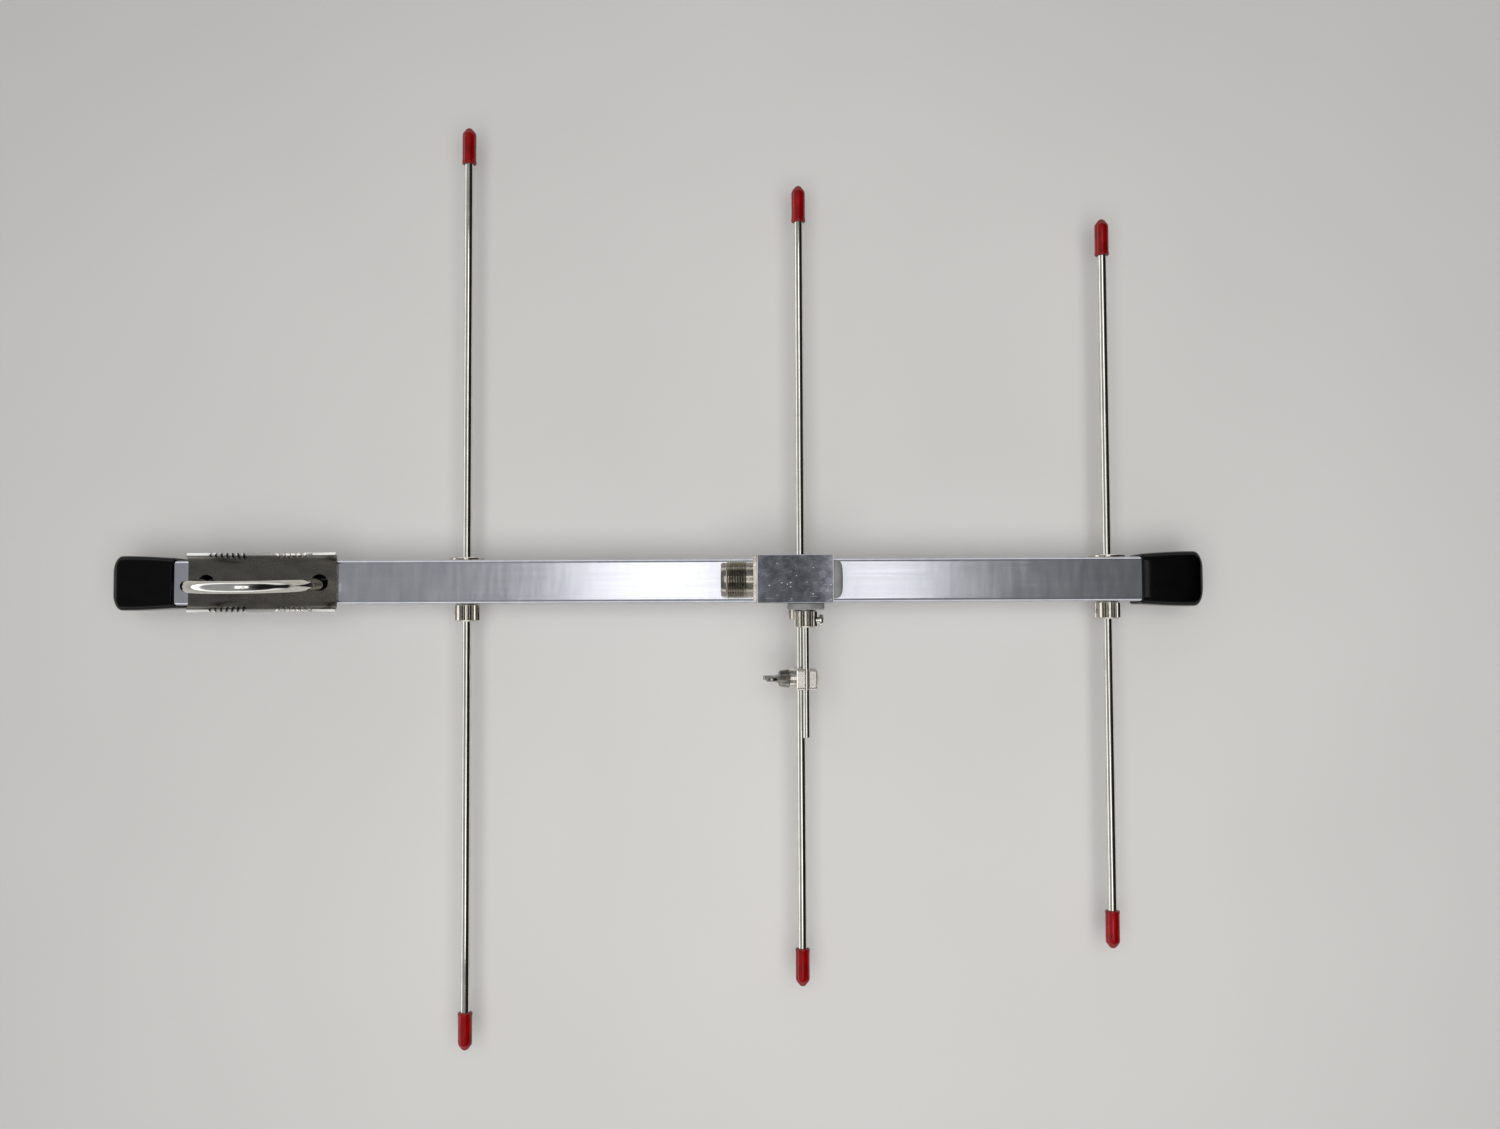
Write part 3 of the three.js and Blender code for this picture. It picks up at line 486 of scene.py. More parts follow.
GREY_NYLON = moulded_plastic(
    "grey_moulded_nylon", "#7b7c7a", "#8a8b88", NYLON_IOR, 0.42, 0.55)
WHITE_PTFE = moulded_plastic("white_ptfe", "#e2e1db", "#eeede8", PTFE_IOR, 0.4, 0.5)

# %% [markdown]
# ## Tools for making pieces
#
# Most pieces here were turned on a lathe, so the first tool spins a profile about an axis.
# The profile is a list of radius and distance pairs in millimetres. A radius of zero becomes
# one vertex, which closes the pole. The second tool skins a row of rings, for shapes whose
# section changes along their length. Faces are turned outwards before anything else is done.

# %% Spin and skin
def tidy(shape):
    """Merges doubles and turns every face of a bmesh outwards."""
    bmesh.ops.remove_doubles(shape, verts=shape.verts, dist=1e-7)
    bmesh.ops.recalc_face_normals(shape, faces=shape.faces)
    return shape


def spin(profile, sides=48, closed=False):
    """A turned solid about +Z, from (radius, distance) pairs in millimetres."""
    shape = bmesh.new()
    rings = []
    for radius, along in profile:
        count = 1 if radius == 0 else sides
        rings.append([
            shape.verts.new((
                radius * MM * math.cos(2 * math.pi * k / sides),
                radius * MM * math.sin(2 * math.pi * k / sides),
                along * MM))
            for k in range(count)])
    pairs = list(zip(rings, rings[1:]))
    if closed:
        pairs.append((rings[-1], rings[0]))
    for lower, upper in pairs:
        for k in range(sides):
            corners = [
                lower[k % len(lower)], lower[(k + 1) % len(lower)],
                upper[(k + 1) % len(upper)], upper[k % len(upper)]]
            distinct = list(dict.fromkeys(corners))
            if len(distinct) > 2:
                shape.faces.new(distinct)
    return tidy(shape)


def skin(rings, closed=False):
    """A solid through rings of points in metres: capped at both ends, or closed in a loop."""
    shape = bmesh.new()
    made = [[shape.verts.new(point) for point in ring] for ring in rings]
    following = made[1:] + made[:1] if closed else made[1:]
    for lower, upper in zip(made, following):
        count = len(lower)
        for k in range(count):
            after = (k + 1) % count
            shape.faces.new((lower[k], lower[after], upper[after], upper[k]))
    if not closed:
        shape.faces.new(made[0])
        shape.faces.new(made[-1])
    return tidy(shape)


def as_shape(mesh):
    """A bmesh with a copy of a mesh."""
    shape = bmesh.new()
    shape.from_mesh(mesh)
    return shape


def as_mesh(name, shape):
    """A mesh from a bmesh, which is freed."""
    mesh = bpy.data.meshes.new(name)
    shape.to_mesh(mesh)
    shape.free()
    return mesh


def from_cad(name):
    """A merged copy of a CAD node's mesh, with its flat faces made whole."""
    shape = as_shape(nodes[name].data)
    bmesh.ops.remove_doubles(shape, verts=shape.verts, dist=2e-6)
    bmesh.ops.dissolve_limit(
        shape, angle_limit=math.radians(0.4), verts=shape.verts, edges=shape.edges)
    return shape


print("spin, skin and from_cad ready")

# %% [markdown]
# The last tool finishes a piece. A real edge is never quite sharp, and the thin line of light
# along it is what makes a part look solid. So a Bevel modifier rounds every edge that turns
# more than a given angle. A Weighted Normal modifier follows, because large faces have to
# stay flat: it lets them set the shading, and leaves all the turning to the small round ones.
# The result is made a plain mesh. Then the piece is given its material and its body, and the
# CAD node it stands for is hidden.

# %% Finish a piece
def make_plain(piece):
    """Replaces a piece's mesh by what its modifiers make of it, and removes them."""
    graph = bpy.context.evaluated_depsgraph_get()
    graph.update()
    result = bpy.data.meshes.new_from_object(piece.evaluated_get(graph))
    result.name = piece.name
    piece.modifiers.clear()
    piece.data = result


def finish(name, shape, material, node, body="root", edge_mm=0.0, steps=2, crease=32):
    """A piece from a bmesh, with round edges, that replaces a CAD node on a body."""
    mesh = as_mesh(name, shape)
    mesh.materials.append(material)
    mesh.polygons.foreach_set("use_smooth", [True] * len(mesh.polygons))
    mesh.set_sharp_from_angle(angle=math.radians(crease))
    piece = place_object(name, mesh)
    if edge_mm:
        bevel = piece.modifiers.new("edges", "BEVEL")
        bevel.width = edge_mm * MM
        bevel.segments = steps
        bevel.limit_method = "ANGLE"
        bevel.angle_limit = math.radians(crease)
        bevel.use_clamp_overlap = True
        flatten = piece.modifiers.new("flat_faces", "WEIGHTED_NORMAL")
        flatten.mode = "FACE_AREA"
        flatten.weight = 100
        flatten.keep_sharp = True
        make_plain(piece)
    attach(piece, body)
    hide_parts(node)
    return piece


def size_mm(name):
    low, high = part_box(name)
    return (high - low) / MM


def middle(name):
    low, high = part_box(name)
    return (low + high) / 2


def moved(shape, matrix):
    bmesh.ops.transform(shape, matrix=matrix, verts=shape.verts)
    return shape


def standing(shape, place, direction):
    """A shape with its foot at a place, and its +Z turned to a direction."""
    turn = Vector(direction).to_track_quat("Z", "Y").to_matrix().to_4x4()
    return moved(shape, Matrix.Translation(place) @ turn)


print("boom is", [round(s, 1) for s in size_mm("boom_tube")], "mm")

# %% [markdown]
# ## Boom and caps
#
# The boom's holes and round corners come straight from the CAD solid, merged and given
# softened edges. The caps are made anew. A dipped cap is a square cup, thinner at its rim,
# that widens towards a soft dome, so a row of rounded squares is skinned: down inside, round
# the lip, out along the wall and over the dome.

# %% Boom
finish("boom", from_cad("boom_tube"), EXTRUDED_ALUMINIUM, "boom_tube", edge_mm=0.15, crease=50)
print("boom edges rounded")

# %% Caps
CORNER_STEPS = 8


def rounded_square(along, size, corner):
    """Points of a square with round corners, in millimetres across X, at a distance along X."""
    reach = size / 2 - corner
    points = []
    for quarter, (sy, sz) in enumerate(((1, 1), (-1, 1), (-1, -1), (1, -1))):
        for step in range(CORNER_STEPS + 1):
            angle = (quarter + step / CORNER_STEPS) * math.pi / 2
            across, up = corner * math.cos(angle), corner * math.sin(angle)
            points.append(Vector((along, sy * reach + across, sz * reach + up)))
    return points


def skin_rows(rows, matrix):
    """A skin through rounded squares, each given as distance, size and corner in mm."""
    return skin([[matrix @ (point * MM) for point in rounded_square(*row)] for row in rows])


CAP = {"bore": 19.2, "rim": 21.6, "girth": 23.4, "corner": 3.6, "depth": 24.5, "dome": 5.0}
CAP_LENGTH = size_mm("boom_cap_front").x


def dipped_cap():
    rows = [(CAP["depth"], CAP["bore"] - 4, 1.0), (CAP["depth"], CAP["bore"], 1.9),
            (0.6, CAP["bore"], 2.0)]
    lip = (CAP["rim"] - CAP["bore"]) / 4
    for step in range(1, 6):
        turn = math.pi * step / 6
        rows.append((lip * 1.4 * (1 - math.sin(turn)),
                     CAP["bore"] + 2 * lip * (1 - math.cos(turn)), 2.0 + 1.6 * step / 6))
    wall_end = CAP_LENGTH - CAP["dome"]
    for step in range(7):
        share = step / 6
        swell = math.sin(share * math.pi / 2)
        rows.append((0.7 + (wall_end - 0.7) * share,
                     CAP["rim"] + (CAP["girth"] - CAP["rim"]) * swell, CAP["corner"]))
    for step in range(1, 13):
        angle = math.pi / 2 * step / 12
        size = CAP["girth"] * (0.12 + 0.88 * math.cos(angle) ** 0.62)
        rows.append((wall_end + CAP["dome"] * math.sin(angle), size,
                     min(CAP["corner"] + 2.2 * step / 12, size / 2 - 0.05)))
    return rows


for end, turn in (("front", 0), ("rear", math.pi)):
    low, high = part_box("boom_cap_" + end)
    mouth = low.x if end == "front" else high.x
    put = (Matrix.Translation((mouth, 0, (low.z + high.z) / 2))
           @ Matrix.Rotation(turn, 4, "Z"))
    cap = finish("cap_" + end, skin_rows(dipped_cap(), put), BLACK_VINYL, "boom_cap_" + end,
                 crease=60)
    print(cap.name, len(cap.data.polygons), "faces")

# %% [markdown]
# ## Mast saddle
#
# The saddle is a pressed channel with teeth along both flanges. Its bends and teeth are
# exact in the CAD solid, so it is merged, and its sheared edges are rounded by a seventh of
# a millimetre. That rounding and the glint painted on the sheared edge make each tooth glint.

# %% Saddle
finish("saddle", from_cad("mast_saddle"), ZINC_PLATED_STEEL, "mast_saddle", edge_mm=0.15,
       crease=48)
print("saddle rounded")

# %% [markdown]
# ## Geometry Nodes: wire that follows a path
#
# The U-bolt is round wire, bent. A tree that sweeps a circle along any curve makes such a
# piece from its centre line and its thickness. Each tree here is built by the script. It
# gets its inputs by name, and ends with Realize Instances and Set Material. A helper runs a
# tree on an object, turns the result into a plain mesh, and removes the modifier.

# %% Tree helpers
def new_tree(name, inputs):
    """A Geometry Nodes tree with named number inputs and a material input."""
    tree = bpy.data.node_groups.new(name, "GeometryNodeTree")
    tree.is_modifier = True
    tree.interface.new_socket("Geometry", in_out="INPUT", socket_type="NodeSocketGeometry")
    for label, kind in inputs.items():
        tree.interface.new_socket(label, in_out="INPUT", socket_type=kind)
    tree.interface.new_socket("Material", in_out="INPUT", socket_type="NodeSocketMaterial")
    tree.interface.new_socket("Geometry", in_out="OUTPUT", socket_type="NodeSocketGeometry")
    return tree, add_node(tree, "NodeGroupInput")


def close_tree(tree, start, made):
    """Ends a tree: smooth, real geometry with its material."""
    smooth = add_node(tree, "GeometryNodeSetShadeSmooth", inputs={"Geometry": made})
    real = add_node(tree, "GeometryNodeRealizeInstances", inputs={"Geometry": smooth})
    dressed = add_node(
        tree, "GeometryNodeSetMaterial",
        inputs={"Geometry": real, "Material": (start, "Material")})
    add_node(tree, "NodeGroupOutput", inputs={"Geometry": dressed})
    print(tree.name, "has", len(tree.nodes), "nodes")


def grow(tree, material, counts, source=None, **sizes):
    """Runs a tree with its sizes in millimetres, and returns the result as a plain mesh."""
    carrier = place_object(tree.name, source or bpy.data.meshes.new(tree.name))
    modifier = carrier.modifiers.new("grow", "NODES")
    modifier.node_group = tree
    sockets = {
        item.name: item.identifier for item in tree.interface.items_tree
        if item.item_type == "SOCKET" and item.in_out == "INPUT"}
    values = {**{label: size * MM for label, size in sizes.items()}, **counts}
    for label, value in values.items():
        modifier[sockets[label]] = value
    modifier[sockets["Material"]] = material
    graph = bpy.context.evaluated_depsgraph_get()
    graph.update()
    mesh = bpy.data.meshes.new_from_object(carrier.evaluated_get(graph))
    carrier.modifiers.clear()
    bpy.data.objects.remove(carrier)
    return mesh


print("tree helpers ready")

# %% Bent wire tree
NUMBER = "NodeSocketFloat"
COUNT = "NodeSocketInt"

BENT_WIRE, wire_in = new_tree("bent_wire", {"Radius": NUMBER, "Sides": COUNT})
wire_section = add_node(
    BENT_WIRE, "GeometryNodeCurvePrimitiveCircle",
    inputs={"Resolution": (wire_in, "Sides"), "Radius": (wire_in, "Radius")})
wire_sweep = add_node(
    BENT_WIRE, "GeometryNodeCurveToMesh",
    inputs={"Curve": (wire_in, "Geometry"), "Profile Curve": wire_section, "Fill Caps": True})
close_tree(BENT_WIRE, wire_in, wire_sweep)

# %% [markdown]
# ## Geometry Nodes: screw threads
#
# A thread is a ridge that winds round a core. The tree draws a spiral with one turn for each
# pitch, reversed to make it right-handed, and sweeps a diamond along it. Half of the diamond
# is sunk into the core, and the other half is the ridge. The diamond shrinks to nothing over
# the first and last half turn, as a rolled thread runs out. The same tree serves the jack,
# the U-bolt and the clamp.

# %% Thread tree
HALF_RIDGE = 0.46

THREAD, thread_in = new_tree(
    "screw_thread", {"Core": NUMBER, "Length": NUMBER, "Pitch": NUMBER, "Depth": NUMBER,
                     "Steps": COUNT})
turns = add_node(
    THREAD, "ShaderNodeMath", {"operation": "DIVIDE"},
    {0: (thread_in, "Length"), 1: (thread_in, "Pitch")})
spiral = add_node(
    THREAD, "GeometryNodeCurveSpiral",
    inputs={"Resolution": (thread_in, "Steps"), "Rotations": turns,
            "Start Radius": (thread_in, "Core"), "End Radius": (thread_in, "Core"),
            "Height": (thread_in, "Length"), "Reverse": True})
upright = add_node(THREAD, "GeometryNodeSetCurveNormal", {"mode": "Z_UP"}, {"Curve": spiral})
share = add_node(THREAD, "GeometryNodeSplineParameter")
from_start = add_node(
    THREAD, "ShaderNodeMath", {"operation": "MULTIPLY"}, {0: (share, "Factor"), 1: turns})
to_end = add_node(
    THREAD, "ShaderNodeMath", {"operation": "SUBTRACT"}, {0: turns, 1: from_start})
nearest = add_node(
    THREAD, "ShaderNodeMath", {"operation": "MINIMUM"}, {0: from_start, 1: to_end})
run_out = add_node(
    THREAD, "ShaderNodeMapRange", inputs=ranged(nearest, 0.0, 0.5, 0.05, 1.0))
diamond = add_node(
    THREAD, "GeometryNodeCurvePrimitiveCircle", inputs={"Resolution": 4, "Radius": 1.0})
half_pitch = add_node(
    THREAD, "ShaderNodeMath", {"operation": "MULTIPLY"},
    {0: (thread_in, "Pitch"), 1: HALF_RIDGE})
proportions = add_node(
    THREAD, "ShaderNodeCombineXYZ",
    inputs={"X": (thread_in, "Depth"), "Y": half_pitch, "Z": 1.0})
ridge_section = add_node(
    THREAD, "GeometryNodeTransform", inputs={"Geometry": diamond, "Scale": proportions})
ridge = add_node(
    THREAD, "GeometryNodeCurveToMesh",
    inputs={"Curve": upright, "Profile Curve": ridge_section, "Scale": run_out,
            "Fill Caps": True})
close_tree(THREAD, thread_in, ridge)

# %% [markdown]
# ## Geometry Nodes: straight knurling
#
# The collars and the gamma coupler have straight knurls, which a wheel rolls into the turned
# blank. A circle with one point for each ridge carries an upright diamond bar on each point,
# turned to face outwards. The bars stand half out of the blank.

# %% Knurl tree
KNURL, knurl_in = new_tree(
    "straight_knurl", {"Radius": NUMBER, "Height": NUMBER, "Depth": NUMBER, "Ridges": COUNT})
blank_edge = add_node(
    KNURL, "GeometryNodeMeshCircle",
    inputs={"Vertices": (knurl_in, "Ridges"), "Radius": (knurl_in, "Radius")})
bar_end = add_node(KNURL, "ShaderNodeCombineXYZ", inputs={"Z": (knurl_in, "Height")})
bar_line = add_node(KNURL, "GeometryNodeCurvePrimitiveLine", inputs={"End": bar_end})
bar_section = add_node(
    KNURL, "GeometryNodeCurvePrimitiveCircle",
    inputs={"Resolution": 4, "Radius": (knurl_in, "Depth")})
bar = add_node(
    KNURL, "GeometryNodeCurveToMesh",
    inputs={"Curve": bar_line, "Profile Curve": bar_section, "Fill Caps": True})
spot = add_node(KNURL, "GeometryNodeInputPosition")
outwards = add_node(
    KNURL, "FunctionNodeAlignRotationToVector", {"axis": "X"}, {"Vector": spot})
bars = add_node(
    KNURL, "GeometryNodeInstanceOnPoints",
    inputs={"Points": blank_edge, "Instance": bar, "Rotation": outwards})
close_tree(KNURL, knurl_in, bars)

# %% [markdown]
# Ridges and threads belong to the piece that they were cut into. These helpers add a grown
# mesh to a bmesh, raised to its place, so that a collar with its knurl stays one piece.

# %% Join grown meshes
def add_mesh(shape, mesh, across=0.0, up=0.0):
    """Adds a mesh to a bmesh, moved by millimetres along X and up Z."""
    mesh.transform(Matrix.Translation((across * MM, 0, up * MM)))
    shape.from_mesh(mesh)
    bpy.data.meshes.remove(mesh)
    return shape


def thread(core, length, pitch, depth, steps=40):
    return grow(THREAD, POLISHED_STAINLESS, {"Steps": steps}, Core=core, Length=length,
                Pitch=pitch, Depth=depth)


def knurl(radius, height, depth, ridges):
    return grow(KNURL, BRIGHT_NICKEL, {"Ridges": ridges}, Radius=radius, Height=height,
                Depth=depth)


print("join helpers ready")

# %% [markdown]
# ## U-bolt
#
# The U-bolt leans a little in its oversize holes, because no mast holds it. Its sliding
# joint's axis in the record is the direction of its legs, so the lean is read from there.
# Its line is a list made by a loop, two legs and a half circle, and the tree makes the wire.
# The legs carry an M5 thread at their ends, with a pitch of 0.8 mm.

# %% U-bolt
WIRE = 2.5
ARC_HEIGHT = 13.1
ARC_STEPS = 64
LEG_END = -30.0
LEG_THREAD = 13.0
M5_PITCH = 0.8
M5_DEPTH = 0.42

lean_axis = Vector(joints["u_bolt_slide"]["axis"])
lean = math.atan2(-lean_axis.y, lean_axis.z)
boom_middle = middle("boom_tube").z
half_span = size_mm("u_bolt").x / 2 - WIRE
leaning = (Matrix.Translation((0, 0, boom_middle)) @ Matrix.Rotation(lean, 4, "X")
           @ Matrix.Translation((0, 0, -boom_middle)))

core = WIRE - M5_DEPTH
leg_top = LEG_END + LEG_THREAD
centre_line = [Vector((-half_span, 0, leg_top))]
for step in range(ARC_STEPS + 1):
    angle = math.pi * (1 - step / ARC_STEPS)
    centre_line.append(Vector((half_span * math.cos(angle), 0,
                               ARC_HEIGHT + half_span * math.sin(angle))))
centre_line.append(Vector((half_span, 0, leg_top)))

wire_line = bpy.data.curves.new("wire_line", "CURVE")
wire_line.dimensions = "3D"
spline = wire_line.splines.new("POLY")
spline.points.add(len(centre_line) - 1)
for point, place in zip(spline.points, centre_line):
    point.co = (*(place * MM), 1)
bent = grow(BENT_WIRE, POLISHED_STAINLESS, {"Sides": 32}, wire_line, Radius=WIRE)
u_shape = add_mesh(bmesh.new(), bent)
for side in (-half_span, half_span):
    leg = spin([(0, LEG_END), (WIRE - 0.75, LEG_END), (core, LEG_END + 0.5),
                (core, leg_top - 0.4), (WIRE, leg_top), (0, leg_top)], 32)
    add_mesh(u_shape, as_mesh("leg", leg), side)
    add_mesh(u_shape, thread(core, LEG_THREAD - 0.8, M5_PITCH, M5_DEPTH), side, LEG_END + 0.4)
u_bolt = finish("u_bolt_wire", moved(u_shape, leaning), POLISHED_STAINLESS, "u_bolt", "u_bolt",
                crease=40)
print("u-bolt lean", round(math.degrees(lean), 2), "degrees,", len(u_bolt.data.polygons), "faces")

# %% [markdown]
# ## Nuts and washers of the U-bolt
#
# The CAD solids already have the hexagon with its turned corners and the split spring
# washer, so these are merged and given fine round edges. Each nut rides on its own body,
# because it turns as the U-bolt slides.

# %% Nuts and washers
for end in ("rear", "front"):
    for kind in ("washer", "spring_washer", "nut"):
        node = f"u_bolt_{kind}_{end}"
        finish("bolt_" + kind + "_" + end, from_cad(node), POLISHED_STAINLESS, node,
               body=node if kind == "nut" else "root", edge_mm=0.12)
print("nuts and washers finished")

# %% [markdown]
# ## Elements
#
# Each element is a polished rod with a dipped red tip on both ends. A flanged bush passes it
# through the boom, and below the boom a knurled collar with a grub screw locks it. The three
# elements differ only in place and length, so one loop makes them all. The tip's profile
# follows a drop of vinyl: a thick rim, a straight skirt, and a cone with a rounded end.

# %% Element profiles
ROD_RADIUS = 2.0
TIP_PROFILE = [
    (0, 13.2), (2.15, 13.2), (2.15, 0.15), (2.4, 0), (2.9, 0.05), (3.12, 0.35), (3.14, 0.8),
    (3.05, 1.3), (3.0, 2.2), (3.0, 8.0), (3.02, 12.0), (2.98, 13.1), (2.82, 13.6),
    (2.35, 14.3), (1.65, 15.2), (1.2, 15.7), (0.75, 15.93), (0, 16.0)]

BUSH_RADIUS = 7.6
BARREL_RADIUS = 3.5
COLLAR_RADIUS = 5.3
COLLAR_HEIGHT = 7.4
BORE = ROD_RADIUS + 0.15


def bush_profile(top, bottom):
    """A flange with a low crown on the boom's upper side, and a barrel through the boom."""
    return [(BORE, bottom), (BARREL_RADIUS, bottom), (BARREL_RADIUS, top),
            (BUSH_RADIUS - 0.1, top), (BUSH_RADIUS, top + 0.12), (BUSH_RADIUS, top + 0.75),
            (BUSH_RADIUS - 0.2, top + 1.02), (BUSH_RADIUS - 0.8, top + 1.16),
            (5.0, top + 1.36), (BARREL_RADIUS, top + 1.48), (BORE + 0.3, top + 1.5),
            (BORE, top + 1.35)]


COLLAR_PROFILE = [
    (BORE, 0.2), (BORE + 0.2, 0), (COLLAR_RADIUS - 0.8, 0), (COLLAR_RADIUS - 0.35, 0.5),
    (COLLAR_RADIUS - 0.35, COLLAR_HEIGHT - 0.5), (COLLAR_RADIUS - 0.75, COLLAR_HEIGHT),
    (BARREL_RADIUS + 0.2, COLLAR_HEIGHT), (BARREL_RADIUS + 0.2, COLLAR_HEIGHT - 2.2),
    (BORE, COLLAR_HEIGHT - 2.2)]
KNURL_RIDGES = 28
print("tip has", len(TIP_PROFILE), "profile points")

# %% Elements
UP = (0, 1, 0)
DOWN = (0, -1, 0)
boom_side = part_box("boom_tube")[1].y / MM

for element in ("reflector", "driven", "director"):
    centre = middle(element + "_rod")
    reach = size_mm(element + "_rod").y / 2
    rod = spin([(0, -reach), (ROD_RADIUS - 0.3, -reach), (ROD_RADIUS, -reach + 0.3),
                (ROD_RADIUS, reach - 0.3), (ROD_RADIUS - 0.3, reach), (0, reach)], 48)
    finish(element + "_bar", standing(rod, centre, UP), POLISHED_STAINLESS, element + "_rod")
    for end, heading in (("upper", UP), ("lower", DOWN)):
        node = f"{element}_tip_{end}"
        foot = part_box(node)[0 if end == "upper" else 1].y
        tip = standing(spin(TIP_PROFILE, 40), (centre.x, foot, centre.z), heading)
        finish(f"{element}_{end}_cover", tip, RED_VINYL, node, crease=70)
    profile = bush_profile(boom_side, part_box(element + "_bush")[0].y / MM)
    bush = standing(spin(profile, 64, closed=True), (centre.x, 0, centre.z), UP)
    finish(element + "_flange", bush, BRIGHT_NICKEL, element + "_bush")
    collar = spin(COLLAR_PROFILE, 68, closed=True)
    add_mesh(collar, knurl(COLLAR_RADIUS - 0.35, COLLAR_HEIGHT - 1.1, 0.35, KNURL_RIDGES),
             up=0.55)
    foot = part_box(element + "_collar")[0].y
    finish(element + "_locking_collar", standing(collar, (centre.x, foot, centre.z), UP),
           BRIGHT_NICKEL, element + "_collar", crease=30)
    finish(element + "_set_screw", from_cad(element + "_grub_screw"), ZINC_PLATED_STEEL,
           element + "_grub_screw", edge_mm=0.08)
    print(element, "rod reach", round(reach, 1), "mm")

# %% [markdown]
# ## Feed box
#
# The box is a cut length of square tube. Sawing and filing leave a bevel round both cut ends,
# which the edge rounding makes, and the box's finish paints it bright as a painted highlight.
# The domed plug in its front end and the flanged bush under it are moulded nylon. The plug is
# skinned from rounded squares, like the caps.

# %% Feed box
finish("feed_box_tube", from_cad("feed_box"), SCUFFED_ALUMINIUM, "feed_box", edge_mm=0.3,
       steps=3, crease=50)
print("feed box rounded")

# %% Box plug
PLUG = {"skirt": 4.8, "inside": 16.4, "size": 15.8, "bulge": 4.2}
PLUG_STEPS = 11

plug_rows = [
    (-PLUG["skirt"], PLUG["inside"] - 1, 0.5), (-PLUG["skirt"] + 0.8, PLUG["inside"], 0.6),
    (-0.05, PLUG["inside"], 0.6), (0.02, PLUG["size"], 1.0),
    (PLUG["bulge"] * 0.3, PLUG["size"], 1.3)]
for step in range(1, PLUG_STEPS + 1):
    angle = math.pi / 2 * step / PLUG_STEPS
    size = PLUG["size"] * (0.2 + 0.8 * math.cos(angle) ** 0.6)
    along = PLUG["bulge"] * (0.3 + 0.7 * math.sin(angle))
    plug_rows.append((along, size, min(1.3 + 1.5 * step / PLUG_STEPS, size / 2 - 0.05)))

box_middle = (box_low + box_high) / 2
put = Matrix.Translation((box_high.x, 0, box_middle.z))
finish("box_end_plug", skin_rows(plug_rows, put), GREY_NYLON, "feed_box_plug", crease=50)
print("plug bulges", PLUG["bulge"], "mm")

# %% [markdown]
# ## Coaxial jack
#
# The jack is turned in one piece with its square flange and then threaded, 24 turns to the
# inch. Its barrel is spun from one profile that goes up the outside, over the rim and down
# the bore. The square plate is a short skin behind it, and the thread tree adds the ridge.

# %% Jack body
JACK = {"flange": 1.6, "neck": 2.8, "neck_radius": 7.25, "thread": 8.4, "radius": 7.94,
        "lead": 2.2, "lead_radius": 7.1, "mouth": 4.1, "mouth_depth": 8.5, "throat": 3.6}
THREAD_PITCH = 25.4 / 24
THREAD_DEPTH = 0.55
BACKWARD = (-1, 0, 0)

core = JACK["radius"] - THREAD_DEPTH
root = JACK["flange"] * 0.5
thread_start = JACK["flange"] + JACK["neck"]
thread_stop = thread_start + JACK["thread"]
barrel_end = thread_stop + JACK["lead"]
shoulder = barrel_end - JACK["mouth_depth"]
barrel = spin([
    (JACK["neck_radius"], root), (JACK["neck_radius"], thread_start),
    (core - 0.1, thread_start), (core, thread_start + 0.4), (core, thread_stop - 0.4),
    (JACK["lead_radius"], thread_stop), (JACK["lead_radius"], barrel_end - 0.45),
    (JACK["lead_radius"] - 0.15, barrel_end - 0.12), (JACK["lead_radius"] - 0.5, barrel_end),
    (JACK["mouth"] + 0.4, barrel_end), (JACK["mouth"], barrel_end - 0.35),
    (JACK["mouth"], shoulder), (JACK["throat"], shoulder), (JACK["throat"], root)],
    96, closed=True)
ridge_length = JACK["thread"] - 0.3
add_mesh(barrel, thread(core, ridge_length, THREAD_PITCH, THREAD_DEPTH, 64),
         up=thread_start + 0.15)
finish("jack_barrel", standing(barrel, (box_low.x, 0, box_middle.z), BACKWARD), WORN_NICKEL,
       "coax_jack_body", crease=28)
print("jack thread turns", round(ridge_length / THREAD_PITCH, 1))

# %% Jack flange
FLANGE_SIZE = 19.9


def square_plate(size, corner, bore, thickness):
    """A square plate with a round hole, lying across X from 0 to its thickness."""
    outer = rounded_square(0, size, corner)
    angles = [math.atan2(point.z, point.y) for point in outer]
    inner = [Vector((0, bore * math.cos(angle), bore * math.sin(angle))) for angle in angles]
    step = Vector((thickness, 0, 0))
    loops = [outer, [p + step for p in outer], [p + step for p in inner], inner]
    return skin([[p * MM for p in loop] for loop in loops], closed=True)


plate = square_plate(FLANGE_SIZE, 0.5, JACK["neck_radius"] - 0.3, JACK["flange"] - 0.02)
put = Matrix.Translation((box_low.x - JACK["flange"] * MM, 0, box_middle.z))
finish("jack_flange", moved(plate, put), BRIGHT_NICKEL, "coax_jack_body", edge_mm=0.15,
       crease=50)
print("jack flange is", FLANGE_SIZE, "mm square")

# %% [markdown]
# The centre contact is a brass tube, slit in four so that it grips the plug's pin. The slits
# are cut with a Boolean modifier and a thin cross. The cross ends level with the bore, where
# a cut can fail on a last digit, so the length is rounded first. A white PTFE ring holds it.

# %% Contact and insulator
def carve(piece_shape, tools):
    """Cuts tools out of a bmesh with an exact Boolean, and returns the rest as a bmesh."""
    carved = [place_object("carving", as_mesh("carving", s)) for s in (piece_shape, *tools)]
    for tool in carved[1:]:
        cut = carved[0].modifiers.new("cut", "BOOLEAN")
        cut.operation = "DIFFERENCE"
        cut.solver = "EXACT"
        cut.object = tool
    make_plain(carved[0])
    rest = as_shape(carved[0].data)
    for piece in carved:
        bpy.data.objects.remove(piece)
    return rest


def block(width, depth, height, up=0.0):
    """A box in millimetres, its middle at a height, as a cutting tool."""
    shape = bmesh.new()
    bmesh.ops.create_cube(shape, size=1)
    scale = Matrix.Diagonal((width * MM, depth * MM, height * MM, 1))
    return moved(shape, Matrix.Translation(Vector((0, 0, up)) * MM) @ scale)


